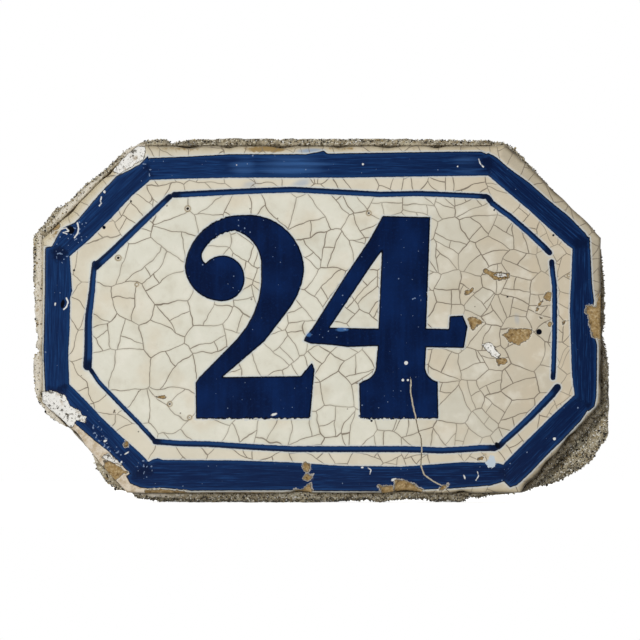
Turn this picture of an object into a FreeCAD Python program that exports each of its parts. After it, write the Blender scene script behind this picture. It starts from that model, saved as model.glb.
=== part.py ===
import FreeCAD, Part

import math
import os
import re

import Sketcher

# House number plaque: a cut-cornered earthenware tile, painted with a border, a thin line and the
# figures 2 and 4, still bonded to the broken mortar that held it on a wall.
# Millimetres. X runs to the reader's right, Z is up and the painted face looks along -Y.
# The origin is on the mortar's flat back, behind the middle of the tile.

doc = FreeCAD.newDocument("house_number_plaque")

driving_sizes = [
    ("figure_height", 72.4, "painted figures, foot to head"),
    ("tile_thickness", 12.0, "tile, back to glazed face"),
    ("arris_radius", 1.1, "soft glazed edge round the face"),
    ("upper_left_wide", 33.6, "upper left corner cut, along the top"),
    ("upper_left_tall", 33.6, "upper left corner cut, down the side"),
    ("upper_right_wide", 34.5, "upper right corner cut, along the top"),
    ("upper_right_tall", 32.9, "upper right corner cut, down the side"),
    ("lower_right_wide", 28.7, "lower right corner cut, along the bottom"),
    ("lower_right_tall", 32.3, "lower right corner cut, up the side"),
    ("lower_left_wide", 30.4, "lower left corner cut, along the bottom"),
    ("lower_left_tall", 32.7, "lower left corner cut, up the side"),
    ("bed_thickness", 10.0, "mortar behind the tile, back to front"),
    ("seat_depth", 3.0, "how far the tile sinks into the mortar"),
    ("mortar_overhang", 3.4, "most that the mortar stands out past the tile"),
    ("bed_overhang", 10.2, "most that it stands out at the lower right"),
    ("high_crust_drop", 1.6, "mortar crust at the top, below the glazed face"),
    ("low_crust_drop", 5.0, "mortar crust at the left and bottom, below the face"),
    ("paint_thickness", 0.2, "fields of fired colour"),
    ("margin_left", 1.7, "tile's edge to border, left"),
    ("margin_upper_left", 4.7, "tile's edge to border, upper left"),
    ("margin_top", 3.6, "tile's edge to border, top"),
    ("margin_upper_right", 4.8, "tile's edge to border, upper right"),
    ("margin_right", 3.0, "tile's edge to border, right"),
    ("margin_lower_right", 2.9, "tile's edge to border, lower right"),
    ("margin_bottom", 1.9, "tile's edge to border, bottom"),
    ("margin_lower_left", 4.2, "tile's edge to border, lower left"),
    ("band_left", 8.2, "border stroke, left"),
    ("band_upper_left", 7.2, "border stroke, upper left"),
    ("band_top", 7.9, "border stroke, top"),
    ("band_upper_right", 5.9, "border stroke, upper right"),
    ("band_right", 7.5, "border stroke, right"),
    ("band_lower_right", 7.5, "border stroke, lower right"),
    ("band_bottom", 9.6, "border stroke, bottom"),
    ("band_lower_left", 9.0, "border stroke, lower left"),
    ("gap_left", 6.3, "border to thin line, left"),
    ("gap_upper_left", 7.4, "border to thin line, upper left"),
    ("gap_top", 4.6, "border to thin line, top"),
    ("gap_upper_right", 5.5, "border to thin line, upper right"),
    ("gap_right", 5.2, "border to thin line, right"),
    ("gap_lower_right", 5.9, "border to thin line, lower right"),
    ("gap_bottom", 4.0, "border to thin line, bottom"),
    ("gap_lower_left", 6.6, "border to thin line, lower left"),
    ("line_width", 1.7, "thin line's stroke"),
    ("head_clearance", 7.1, "thin line down to the figures' heads"),
    ("foot_clearance", 9.8, "thin line up to the figures' feet"),
    ("left_clearance", 33.6, "thin line across to the 2"),
    ("right_clearance", 30.9, "4 across to the thin line"),
    ("tip_tuck", 3.2, "how far the 4's tip reaches back over the 2's foot"),
    ("flake_depth", 0.9, "flakes of glaze lost from the face"),
    ("bite_depth", 3.0, "deeper breaks along the tile's edge"),
]

sheet = doc.addObject("Spreadsheet::Sheet", "sizes")
for row, (word, size, note) in enumerate(driving_sizes, start=1):
    sheet.set(f"A{row}", note)
    sheet.set(f"B{row}", str(size))
    sheet.setAlias(f"B{row}", word)
doc.recompute()
size_words = {word for word, size, note in driving_sizes}

# Levels measured forwards from the wall
tile_back = "(bed_thickness - seat_depth)"
tile_front = "(bed_thickness - seat_depth + tile_thickness)"

# The figures are drawn in hundredths of their height, from the foot of each one's left side.
# An entry is (along, up), with (radius, side) after it where a curve leaves that corner.
two_outline = [
    (5.5, 0),
    (6.3, 19.2),
    (25.5, 39, 46, -1),
    (37.7, 74, 17.8, -1),
    (24.2, 92.9, 19.6, -1),
    (8.3, 81.6, 4.6, -1),
    (9.8, 76.3, 10.9, 1),
    (29, 70, 11, 1),
    (16.4, 58.1, 17.9, 1),
    (0, 74.6, 27.8, 1),
    (28.3, 100, 27.7, 1),
    (58.4, 72.6, 36.7, 1),
    (51.5, 54.9),
    (38.5, 37.9),
    (18.1, 19.6),
    (56.7, 20),
    (62.2, 26.5),
    (63.2, 23.6),
    (61.2, 0),
]
four_outline = [
    (27.4, 0),
    (27.1, 16.7),
    (29, 17.9, 7.8, -1),
    (35.3, 27),
    (36.3, 34.8),
    (0, 37.8),
    (3.8, 44.3),
    (19.9, 69.5),
    (32.5, 88.2),
    (38.5, 99.3),
    (61.5, 98.7),
    (59.9, 44.1),
    (71.1, 43.3),
    (71.5, 49.4),
    (77.3, 49.9),
    (79.6, 44.8),
    (77.8, 34.8),
    (59.9, 35),
    (59.4, 25.7, 7.8, -1),
    (65.2, 17.7),
    (65.5, 0),
]
four_opening = [(38.3, 83.1), (36.5, 43.8), (12.8, 44.6), (33, 76.1)]
two_width = max(entry[0] for entry in two_outline) / 100
four_width = max(entry[0] for entry in four_outline) / 100

# The tile is as large as its figures, its thin line and its border need. The 4 stands against the
# 2: its left tip reaches back over the 2's spur.
line_left = "(margin_left + band_left + gap_left + line_width)"
line_right = "(margin_right + band_right + gap_right + line_width)"
line_foot = "(margin_bottom + band_bottom + gap_bottom + line_width)"
line_head = "(margin_top + band_top + gap_top + line_width)"
figures_width = f"(figure_height * {two_width + four_width:.3f} - tip_tuck)"
tile_width = f"({line_left} + left_clearance + {figures_width} + right_clearance + {line_right})"
tile_height = f"({line_foot} + foot_clearance + figure_height + head_clearance + {line_head})"
figure_foot = f"(-{tile_height} / 2 + {line_foot} + foot_clearance)"
two_at = f"(-{tile_width} / 2 + {line_left} + left_clearance)"
four_at = f"({two_at} + figure_height * {two_width} - tip_tuck)"


def formula(text):
    # A size's plain word becomes its cell on the sheet.
    def cell(match):
        word = match.group()
        return f"sizes.{word}" if word in size_words else word

    return re.sub(r"[a-z_]+", cell, text)


def value(text):
    return sheet.evalExpression(formula(text))


def new_body(name):
    body = doc.addObject("PartDesign::Body", name)
    body.Label = name
    return body


def centre_of_arc(start, end, radius, side):
    # The arc bulges to the left of its way from start to end where side is 1, to the right where -1.
    chord = end.sub(start)
    middle = start.add(end).multiply(0.5)
    to_left = FreeCAD.Vector(-chord.y, chord.x, 0).normalize()
    inward = math.sqrt(radius ** 2 - (chord.Length / 2) ** 2)
    return middle.sub(to_left.multiply(side * inward))


def draw(body, name, level, loops):
    # A sketch on the body's upright XZ plane, moved forwards to a level. Each corner of a loop is
    # (x, z), or (x, z, radius, side) where an arc leaves it. All are formulas of the sheet's words.
    plane = [item for item in body.Origin.OriginFeatures if item.Role == "XZ_Plane"][0]
    sketch = body.newObject("Sketcher::SketchObject", name)
    sketch.AttachmentSupport = [(plane, "")]
    sketch.MapMode = "FlatFace"
    sketch.setExpression(".AttachmentOffset.Base.z", formula(level))
    for corners in loops:
        points = [FreeCAD.Vector(value(corner[0]), value(corner[1]), 0) for corner in corners]
        edges = []
        for index, corner in enumerate(corners):
            start = points[index]
            end = points[(index + 1) % len(points)]
            if len(corner) == 2:
                edge = sketch.addGeometry(Part.LineSegment(start, end))
                edges.append((edge, 1, 2, None))
                continue
            radius = value(corner[2])
            side = corner[3]
            centre = centre_of_arc(start, end, radius, side)
            circle = Part.Circle(centre, FreeCAD.Vector(0, 0, 1), radius)
            first, last = (end, start) if side > 0 else (start, end)
            first_angle = math.atan2(first.y - centre.y, first.x - centre.x)
            last_angle = math.atan2(last.y - centre.y, last.x - centre.x)
            if last_angle < first_angle:
                last_angle += 2 * math.pi
            edge = sketch.addGeometry(Part.ArcOfCircle(circle, first_angle, last_angle))
            ends = (2, 1) if side > 0 else (1, 2)
            edges.append((edge, ends[0], ends[1], corner[2]))
        rules = []
        meanings = []
        for index, (edge, near, far, radius) in enumerate(edges):
            after, after_near, after_far, after_radius = edges[(index + 1) % len(edges)]
            rules.append(Sketcher.Constraint("Coincident", edge, far, after, after_near))
            meanings.append(None)
        for (edge, near, far, radius), corner, point in zip(edges, corners, points):
            rules.append(Sketcher.Constraint("DistanceX", edge, near, point.x))
            meanings.append(corner[0])
            rules.append(Sketcher.Constraint("DistanceY", edge, near, point.y))
            meanings.append(corner[1])
            if radius:
                rules.append(Sketcher.Constraint("Radius", edge, value(radius)))
                meanings.append(radius)
        for constraint, meaning in zip(sketch.addConstraint(rules), meanings):
            if meaning:
                sketch.setExpression(f"Constraints[{constraint}]", formula(meaning))
    return sketch


def pad(body, name, sketch, length):
    feature = body.newObject("PartDesign::Pad", name)
    feature.Profile = sketch
    feature.setExpression("Length", formula(length))
    sketch.Visibility = False
    doc.recompute()
    return feature


def pocket(body, name, sketch, depth):
    # A pocket that takes nothing away is an error, so the body's volume has to fall.
    before = body.Shape.Volume
    feature = body.newObject("PartDesign::Pocket", name)
    feature.Profile = sketch
    feature.setExpression("Length", formula(depth))
    sketch.Visibility = False
    doc.recompute()
    if body.Shape.Volume > before - 0.01:
        raise ValueError(f"{name} cuts nothing")
    return feature


def loft(body, name, sketches):
    feature = body.newObject("PartDesign::AdditiveLoft", name)
    feature.Profile = sketches[0]
    feature.Sections = sketches[1:]
    feature.Ruled = True
    doc.recompute()
    return feature


# The tile's eight sides, clockwise as the reader sees them from the left side up
sides = ["left", "upper_left", "top", "upper_right", "right", "lower_right", "bottom", "lower_left"]
diagonals = {
    "upper_left": ("-", "+"),
    "upper_right": ("+", "+"),
    "lower_right": ("+", "-"),
    "lower_left": ("-", "-"),
}


def inset_corner(level_side, diagonal, insets):
    # Where the top, bottom, left or right side meets a diagonal, each moved in by its own inset.
    across, upwards = diagonals[diagonal]
    wide = f"{diagonal}_wide"
    tall = f"{diagonal}_tall"
    slant = f"({insets[diagonal]}) * hypot({wide}; {tall})"
    level = f"({insets[level_side]})"
    if level_side in ("top", "bottom"):
        from_edge = f"({wide} + ({slant} - {level} * {wide}) / {tall})"
        return (f"{across}1 * ({tile_width} / 2 - {from_edge})", f"{upwards}1 * ({tile_height} / 2 - {level})")
    from_edge = f"({tall} + ({slant} - {level} * {tall}) / {wide})"
    return (f"{across}1 * ({tile_width} / 2 - {level})", f"{upwards}1 * ({tile_height} / 2 - {from_edge})")


def octagon(insets):
    # The corner where each side starts, in the order of the sides
    corners = []
    for index, side in enumerate(sides):
        before = sides[index - 1]
        level_side, diagonal = (side, before) if before in diagonals else (before, side)
        corners.append(inset_corner(level_side, diagonal, insets))
    return corners


no_insets = {side: "0" for side in sides}
tile_outline = octagon(no_insets)

# Broken flakes, as six corners in shares of the flake's half width and half height
flake_outline = [(-1.0, -0.25), (-0.35, 0.95), (0.45, 0.7), (1.0, 0.2), (0.5, -0.9), (-0.4, -0.65)]

# Flakes lost from the face: the middle in shares of the tile's half width and half height, then
# width and height in millimetres and the turn in degrees
face_flakes = {
    "flake_by_the_line": (0.625, 0.257, 9.4, 3.8, -8),
    "flake_small": (0.526, 0.16, 3.4, 2.6, 20),
    "flake_three_cornered": (0.552, -0.02, 5.6, 4.4, 65),
    "flake_large": (0.696, -0.098, 10.6, 5.6, 12),
    "flake_on_the_line": (0.802, 0.132, 2.8, 3.8, -20),
    "flake_white": (0.611, -0.184, 7.8, 4.6, 5),
}
# Flakes and deeper bites lost from the edge: the side, the share of the way along it, how far in
# from it the middle lies, then width, height and turn as above
edge_flakes = {
    "edge_flake_left": ("lower_left", 0.8, 9.6, 14.5, 8.2, -28),
    "edge_flake_lower_left": ("lower_left", 0.24, 3.2, 9.0, 4.6, -46),
    "edge_flake_bottom": ("bottom", 0.35, 2.8, 17.0, 4.2, 3),
    "edge_flake_foot": ("bottom", 0.54, 2.2, 3.6, 6.0, 8),
    "edge_flake_right": ("right", 0.53, 3.2, 4.6, 12.5, 6),
    "edge_flake_upper_left": ("upper_left", 0.86, 2.4, 11.0, 5.0, 38),
}
edge_bites = {
    "bite_left": ("lower_left", 0.84, 1.2, 10.0, 5.4, -48),
    "bite_lower_left": ("lower_left", 0.5, 0.4, 12.0, 4.4, -48),
    "bite_bottom": ("bottom", 0.33, 0.2, 13.0, 2.6, 0),
}


def outward(side):
    # A side's unit normal, as two formulas
    if side in diagonals:
        across, upwards = diagonals[side]
        length = f"hypot({side}_wide; {side}_tall)"
        return (f"{across}{side}_tall / {length}", f"{upwards}{side}_wide / {length}")
    return {"left": ("-1", "0"), "top": ("0", "1"), "right": ("1", "0"), "bottom": ("0", "-1")}[side]


def beside(side, along, reach):
    # A point part of the way along one of the tile's sides, moved out from it by a reach
    index = sides.index(side)
    start = tile_outline[index]
    end = tile_outline[(index + 1) % len(sides)]
    normal = outward(side)
    return tuple(
        f"({start[axis]}) * {1 - along:.4f} + ({end[axis]}) * {along:.4f} + {normal[axis]} * {reach}"
        for axis in (0, 1)
    )


def flake_corners(middle, width, height, turn):
    cosine = math.cos(math.radians(turn))
    sine = math.sin(math.radians(turn))
    corners = []
    for share_x, share_z in flake_outline:
        along = share_x * width / 2
        up = share_z * height / 2
        corners.append((
            f"{middle[0]} + {along * cosine - up * sine:.3f}",
            f"{middle[1]} + {along * sine + up * cosine:.3f}",
        ))
    return corners


def lose_flake(body, name, corners, level, depth):
    sketch = draw(body, f"{body.Name}_{name}_outline", level, [corners])
    pocket(body, f"{body.Name}_{name}", sketch, depth)


def lose_face_flakes(body, level, depth):
    for name, (share_x, share_z, width, height, turn) in face_flakes.items():
        middle = (f"{tile_width} / 2 * {share_x}", f"{tile_height} / 2 * {share_z}")
        lose_flake(body, name, flake_corners(middle, width, height, turn), level, depth)


def lose_edge_flakes(body, flakes, level, depth):
    for name, (side, along, inset, width, height, turn) in flakes.items():
        middle = beside(side, along, f"-{inset}")
        lose_flake(body, name, flake_corners(middle, width, height, turn), level, depth)


# The tile: one pressed and fired slab with a soft arris round its face and the breaks of age
def make_tile():
    body = new_body("tile")
    outline = draw(body, "tile_outline", tile_back, [tile_outline])
    slab = pad(body, "tile_slab", outline, "tile_thickness")
    front = value(tile_front)
    face_edges = [
        f"Edge{index}"
        for index, edge in enumerate(slab.Shape.Edges, start=1)
        if all(abs(vertex.Y + front) < 0.001 for vertex in edge.Vertexes)
    ]
    arris = body.newObject("PartDesign::Fillet", "tile_arris")
    arris.Base = (slab, face_edges)
    arris.setExpression("Radius", formula("arris_radius"))
    doc.recompute()
    lose_face_flakes(body, tile_front, "flake_depth")
    lose_edge_flakes(body, edge_flakes, tile_front, "flake_depth")
    lose_edge_flakes(body, edge_bites, tile_front, "bite_depth")
    return body


# The mortar's broken edge: how far it stands out past the tile at even steps along each side, in
# shares of the overhang. Less than nothing is under the tile.
bed_shares = {
    "left": (0.42, 0.78, 0.1, 0.26, 0.53, 0.65, 1.0, 0.93),
    "upper_left": (0.53, 0.95, 0.75, 0.74, 0.27, 0.26),
    "top": (0.45, 0.23, 0.37, 0.8, 0.56, 0.42, 0.56, 0.58, 0.6, 0.35, 0.13, 0.1),
    "upper_right": (-0.3, -0.4),
    "right": (-0.5, -0.4, -0.5, -0.2, 0.5, 0.9),
    "lower_right": (0.72, 0.94, 1.0, 0.92, 0.58, 0.11),
    "bottom": (0.1, 0.2, 0.9, 0.35, 0.5, 0.75, 1.0, 1.0, 0.95, 1.0, 0.9, 0.4),
    "lower_left": (0.33, 0.35, -0.32, -0.5, -0.13, 0.2),
}
# Where the mortar climbs the tile's edge: near the face along the top, lower elsewhere
high_crust_sides = ("upper_left", "top")
low_crust_sides = ("left", "bottom")
under_tile = (-0.5, -0.5)


def ragged_outline(shares_of_side, factor, unevenness):
    corners = []
    for side in sides:
        overhang = "bed_overhang" if side == "lower_right" else "mortar_overhang"
        shares = shares_of_side(side)
        for step, share in enumerate(shares):
            wave = unevenness * math.sin(2.4 * len(corners))
            reach = f"{share * factor + wave:.3f} * {overhang}"
            corners.append(beside(side, (step + 0.5) / len(shares), reach))
    return corners


def crust_shares(crusted_sides):
    # A side with no crust stays under the tile, where the tile's seat is cut out of it.
    def shares_of_side(side):
        return bed_shares[side] if side in crusted_sides else under_tile

    return shares_of_side


# The mortar: a flat back where it lay on the wall, broken sides, and a crust up the tile's edges.
# The tile's own outline is cut out of it last, so that it grips the tile face to face.
def make_mortar_bed():
    body = new_body("mortar_bed")
    bed_levels = [("0", 0.7, 0.1), ("bed_thickness * 0.55", 1.0, 0.0), ("bed_thickness", 0.8, -0.08)]
    sections = [
        draw(body, f"bed_section_{index}", level, [ragged_outline(bed_shares.get, factor, unevenness)])
        for index, (level, factor, unevenness) in enumerate(bed_levels)
    ]
    loft(body, "bed", sections)
    crusts = [
        ("high_crust", high_crust_sides, "high_crust_drop"),
        ("low_crust", low_crust_sides, "low_crust_drop"),
    ]
    for name, crusted_sides, drop in crusts:
        shares_of_side = crust_shares(crusted_sides)
        foot = draw(body, f"{name}_foot", "bed_thickness", [ragged_outline(shares_of_side, 0.75, 0.0)])
        crest = draw(
            body, f"{name}_crest", f"{tile_front} - {drop}", [ragged_outline(shares_of_side, 0.5, 0.06)]
        )
        loft(body, name, [foot, crest])
    seat = draw(body, "tile_seat_outline", tile_front, [tile_outline])
    pocket(body, "tile_seat", seat, "tile_thickness")
    return body


def stroke_ring(body, name, outer_insets, inner_insets):
    sketch = draw(body, f"{name}_outline", tile_front, [octagon(outer_insets), octagon(inner_insets)])
    return pad(body, name, sketch, "paint_thickness")


# The border: eight broad brush strokes that overlap at the corners
def make_border_band():
    body = new_body("border_band")
    outer = {side: f"margin_{side}" for side in sides}
    inner = {side: f"margin_{side} + band_{side}" for side in sides}
    stroke_ring(body, "border_strokes", outer, inner)
    paint_front = f"{tile_front} + paint_thickness"
    lost = {name: edge_flakes[name] for name in edge_flakes if name != "edge_flake_upper_left"}
    lose_edge_flakes(body, lost, paint_front, "paint_thickness")
    return body


# The thin line inside the border
def make_inner_line():
    body = new_body("inner_line")
    outer = {side: f"margin_{side} + band_{side} + gap_{side}" for side in sides}
    inner = {side: f"{outer[side]} + line_width" for side in sides}
    stroke_ring(body, "line_strokes", outer, inner)
    return body


def figure_loop(left, outline):
    corners = []
    for entry in outline:
        x = f"{left} + figure_height * {entry[0] / 100}"
        z = f"{figure_foot} + figure_height * {entry[1] / 100}"
        curve = (f"figure_height * {entry[2] / 100}", entry[3]) if len(entry) > 2 else ()
        corners.append((x, z) + curve)
    return corners


def make_figure(name, loops):
    body = new_body(name)
    sketch = draw(body, f"{name}_outline", tile_front, loops)
    pad(body, f"{name}_field", sketch, "paint_thickness")
    return body


plaque = [
    make_tile(),
    make_mortar_bed(),
    make_border_band(),
    make_inner_line(),
    make_figure("digit_two", [figure_loop(two_at, two_outline)]),
    make_figure("digit_four", [figure_loop(four_at, four_outline), figure_loop(four_at, four_opening)]),
]
doc.recompute()

for item in doc.Objects:
    if "Invalid" in item.State or "Error" in item.State:
        raise ValueError(f"{item.Name} failed: {item.State}")
os.makedirs("parts", exist_ok=True)
for body in plaque:
    if body.Shape.isNull() or not body.Shape.isValid():
        raise ValueError(f"{body.Label} is not a valid shape")
    body.Shape.exportStep(f"parts/{body.Label}.step")
    box = body.Shape.BoundBox
    print(
        f"{body.Label}: {len(body.Shape.Solids)} solid, {body.Shape.Volume / 1000:.2f} cm3, "
        f"X {box.XMin:.1f}..{box.XMax:.1f}, Y {box.YMin:.1f}..{box.YMax:.1f}, Z {box.ZMin:.1f}..{box.ZMax:.1f}"
    )
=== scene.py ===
import math

import bmesh
import bpy
import numpy as np
from mathutils import Matrix, Vector, noise


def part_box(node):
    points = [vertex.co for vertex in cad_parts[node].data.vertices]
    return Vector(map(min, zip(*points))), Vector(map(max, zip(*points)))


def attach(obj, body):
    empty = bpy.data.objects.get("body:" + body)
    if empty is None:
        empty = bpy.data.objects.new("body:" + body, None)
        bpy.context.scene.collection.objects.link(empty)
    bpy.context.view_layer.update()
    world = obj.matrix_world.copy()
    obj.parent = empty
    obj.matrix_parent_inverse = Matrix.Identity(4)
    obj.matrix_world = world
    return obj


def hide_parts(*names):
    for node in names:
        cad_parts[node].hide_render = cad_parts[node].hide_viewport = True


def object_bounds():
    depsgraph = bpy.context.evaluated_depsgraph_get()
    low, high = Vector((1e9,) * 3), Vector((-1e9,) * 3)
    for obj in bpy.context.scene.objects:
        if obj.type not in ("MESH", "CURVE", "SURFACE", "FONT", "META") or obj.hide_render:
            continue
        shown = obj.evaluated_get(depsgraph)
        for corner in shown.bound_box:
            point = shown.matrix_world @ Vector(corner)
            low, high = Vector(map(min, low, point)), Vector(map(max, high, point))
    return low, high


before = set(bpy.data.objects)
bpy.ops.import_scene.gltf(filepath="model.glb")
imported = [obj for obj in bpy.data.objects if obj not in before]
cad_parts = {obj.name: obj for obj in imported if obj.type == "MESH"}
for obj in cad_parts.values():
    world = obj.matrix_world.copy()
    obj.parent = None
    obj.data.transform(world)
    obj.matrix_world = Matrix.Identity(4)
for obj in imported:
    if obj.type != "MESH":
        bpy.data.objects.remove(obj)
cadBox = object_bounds()

# House number plaque: a cut-cornered tin-glazed tile, painted in cobalt with a border, a thin line
# and the figures 2 and 4, in the broken mortar that held it on a wall.
# Sizes and places in the dictionaries are millimetres: X to the right, Z up, the face looks along -Y.
mm = 0.001
seed = 24

print("helpers")


def srgb(code):
    # An sRGB hex code as the linear colour that the nodes take
    channels = [int(code[index:index + 2], 16) / 255 for index in (0, 2, 4)]
    linear = [c / 12.92 if c <= 0.04045 else ((c + 0.055) / 1.055) ** 2.4 for c in channels]
    return (*linear, 1.0)


def addNode(tree, kind, inputs=None, out=0, **settings):
    # Adds a shader node, gives it settings, values and links, and returns one of its outputs
    node = tree.nodes.new("ShaderNode" + kind)
    for name, setting in settings.items():
        setattr(node, name, setting)
    for socket, source in (inputs or {}).items():
        if isinstance(source, bpy.types.NodeSocket):
            tree.links.new(source, node.inputs[socket])
        else:
            node.inputs[socket].default_value = source
    return node.outputs[out] if len(node.outputs) else node


def layUp(tree, ground, coats):
    # Lays coats of colour on a ground. Each coat has a colour, the reading that spreads it, where
    # it starts and where it is full, and its strength there.
    for colour, reading, start, full, strength in coats:
        spread = {0: reading, 1: start, 2: full, 4: strength}
        mask = addNode(tree, "MapRange", spread, interpolation_type="SMOOTHSTEP")
        colour = srgb(colour) if isinstance(colour, str) else colour
        ground = addNode(tree, "Mix", {0: mask, 6: ground, 7: colour}, out=2, data_type="RGBA")
    return ground


def newMaterial(name):
    material = bpy.data.materials.new(name)
    material.use_nodes = True
    tree = material.node_tree
    tree.nodes.clear()
    return material, tree


def newPiece(name, bm, material):
    mesh = bpy.data.meshes.new(name)
    bm.to_mesh(mesh)
    bm.free()
    piece = bpy.data.objects.new(name, mesh)
    bpy.context.scene.collection.objects.link(piece)
    mesh.materials.append(material)
    mesh.polygons.foreach_set("use_smooth", [True] * len(mesh.polygons))
    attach(piece, "root")
    return piece


def keepValues(mesh, name, values, kind="FLOAT"):
    # Stores one number, or one vector, for each vertex
    attribute = mesh.attributes.new(name, kind, "POINT")
    key = "value" if kind == "FLOAT" else "vector"
    attribute.data.foreach_set(key, np.asarray(values, np.float32).ravel())


def smoothStep(values, start, end):
    share = np.clip((values - start) / (end - start), 0.0, 1.0)
    return share * share * (3 - 2 * share)


def noiseAt(points, size, shift=0.0):
    # Smooth noise from -1 to 1 at points in millimetres, with features of a size in millimetres
    return np.array([noise.noise(Vector(point) / size + Vector((shift, 7.1, 3.3))) for point in points])


print("outlines")


def bendCorners(outline, step=9.0):
    # Turns the arcs of an outline into short chords. An entry is (x, z) or (x, z, radius, side).
    points = []
    for index, entry in enumerate(outline):
        start = Vector(entry[:2])
        points.append(start)
        if len(entry) == 2:
            continue
        end = Vector(outline[(index + 1) % len(outline)][:2])
        radius, side = entry[2:]
        chord = end - start
        toLeft = Vector((-chord.y, chord.x)).normalized()
        centre = (start + end) / 2 - toLeft * side * math.sqrt(radius ** 2 - (chord.length / 2) ** 2)
        sweep = 2 * math.asin(chord.length / 2 / radius) * -side
        count = max(2, round(abs(math.degrees(sweep)) / step))
        for part in range(1, count):
            points.append(centre + Matrix.Rotation(sweep * part / count, 2) @ (start - centre))
    return np.array([tuple(point) for point in points])


def outlineDistance(places, corners):
    # Signed distance from places to a closed outline, less than nothing inside it
    nearest = np.full(len(places), 1e9)
    inside = np.zeros(len(places), bool)
    for start, end in zip(corners, np.roll(corners, -1, axis=0)):
        way = end - start
        offset = places - start
        share = np.clip(offset @ way / max(way @ way, 1e-9), 0, 1)
        nearest = np.minimum(nearest, np.linalg.norm(offset - share[:, None] * way, axis=1))
        crosses = (start[1] > places[:, 1]) != (end[1] > places[:, 1])
        rise = way[1] if abs(way[1]) > 1e-9 else 1e-9
        meets = start[0] + (places[:, 1] - start[1]) * way[0] / rise
        inside ^= crosses & (places[:, 0] < meets)
    return np.where(inside, -nearest, nearest)


def strokeDistance(places, path, widths):
    # Signed distance to a brush stroke along a path whose width changes, with how far along it lies
    lengths = [math.dist(a, b) for a, b in zip(path, path[1:])]
    marks = np.concatenate([[0], np.cumsum(lengths)])
    nearest = np.full(len(places), 1e9)
    along = np.zeros(len(places))
    across = np.zeros(len(places))
    for index, (start, end) in enumerate(zip(np.array(path[:-1]), np.array(path[1:]))):
        way = end - start
        offset = places - start
        share = np.clip(offset @ way / (way @ way), 0, 1)
        width = widths[0] + (widths[1] - widths[0]) * (marks[index] + share * lengths[index]) / marks[-1]
        away = np.linalg.norm(offset - share[:, None] * way, axis=1) - width / 2
        closer = away < nearest
        nearest = np.where(closer, away, nearest)
        along = np.where(closer, marks[index] + share * lengths[index], along)
        side = (offset[:, 0] * way[1] - offset[:, 1] * way[0]) / lengths[index]
        across = np.where(closer, side, across)
    return nearest, along, across


def spotDistance(places, spots):
    # Signed distance to the nearest of several spots (x, z, width, height, turn in degrees)
    nearest = np.full(len(places), 1e9)
    for x, z, width, height, turn in spots:
        angle = math.radians(turn)
        offset = places - (x, z)
        along = offset[:, 0] * math.cos(angle) + offset[:, 1] * math.sin(angle)
        up = offset[:, 1] * math.cos(angle) - offset[:, 0] * math.sin(angle)
        reach = np.hypot(along / (width / 2), up / (height / 2))
        nearest = np.minimum(nearest, (reach - 1) * min(width, height) / 2)
    return nearest


tileLow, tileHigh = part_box("tile")
faceLevel = tileLow.y
twoLow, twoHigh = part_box("digit_two")
fourLow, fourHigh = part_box("digit_four")

tileShape = {
    # The corners' cuts, from the side and from the top or bottom, as (left or right, up or down)
    "cornerCuts": {
        (-1, 1): (33.6, 33.6), (1, 1): (34.5, 32.9), (1, -1): (28.7, 32.3), (-1, -1): (30.4, 32.7),
    },
    "gridStep": 0.9,
    "fineReach": 0.95,  # the mesh is halved this near to a painted edge, a chip or the rim
    "finestReach": 0.6,  # and halved again this near to a scratch or the crack
    "wallSteps": 8,
    "arris": 0.85,
    "faceWave": 0.12,  # how far the face is from flat
    "paintRise": 0.09,  # the cobalt stands proud of the glaze by this much
    "rimWobble": 0.5,  # how unevenly the hand-cut edge runs
    # Where the rim is worn back or, below nothing, stands out: x, z, reach and how far
    "rimBites": [
        (-87.3, -41, 6.5, 1.6), (-81.6, -48.5, 4, 0.5), (-94, -36, 4, 0.7), (30, -62, 6, 0.9),
        (-8, -62, 4, 0.7), (68.5, 60, 7, -0.8), (77, 51.5, 7, -0.9), (86, 43, 7, -0.9),
        (94, 35.5, 6, -0.8), (-47, 62, 4, 0.6), (-33, 62, 3, 0.7), (-14, 62, 4, 0.6),
        (6, 62, 3, 0.5), (24, 62, 4, 0.6), (41, 62, 3, 0.6), (88, -42, 3, 0.7), (80, -51, 4, 0.6),
        (73, -59, 3, 0.7), (-76, 52.5, 3, 0.6), (-90, 39, 4, 0.7), (50, -62, 3, 0.6),
    ],
}

# The figures, in hundredths of their height from the foot of each one's left side
figureShape = {
    "height": 72.4,
    "two": [
        (5, -0.5), (4.8, 17.4), (6.7, 20.2), (25.2, 39, 46, -1), (37.1, 74, 17.4, -1),
        (24.2, 92.3, 19.6, -1), (8.3, 81.6, 4.6, -1), (9.8, 76.3, 10.9, 1), (29, 70, 11.1, 1),
        (16.2, 57.6, 18.2, 1), (-0.6, 74.5, 28.2, 1), (28.3, 100.2, 27.7, 1), (58.5, 72.6, 36.7, 1),
        (52, 54.9), (39, 37.9), (18.3, 20.2), (56.7, 20.7), (62.3, 27.5), (63.6, 24), (61.4, -0.4),
    ],
    "four": [
        (27.1, -0.4), (26.7, 17), (28.8, 18.4, 7.8, -1), (35, 27), (36, 35.4), (21, 34.9),
        (12.3, 36), (2.4, 36.6), (-0.7, 38.1), (0.2, 40.2), (3.6, 44.3), (19.6, 69.7), (32.1, 88.4),
        (38.3, 99.7), (61.9, 99.1), (59.9, 44.2), (70.9, 43.9), (71.4, 50.2), (77.9, 50.6),
        (80.3, 45), (78.5, 34.4), (59.9, 34.8), (59.4, 25.7, 7.8, -1), (65.6, 17.9), (65.9, -0.4),
    ],
    "fourOpening": [(37.9, 82.2), (36.2, 44.1), (12.3, 44.6), (33.1, 75.6)],
}

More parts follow.
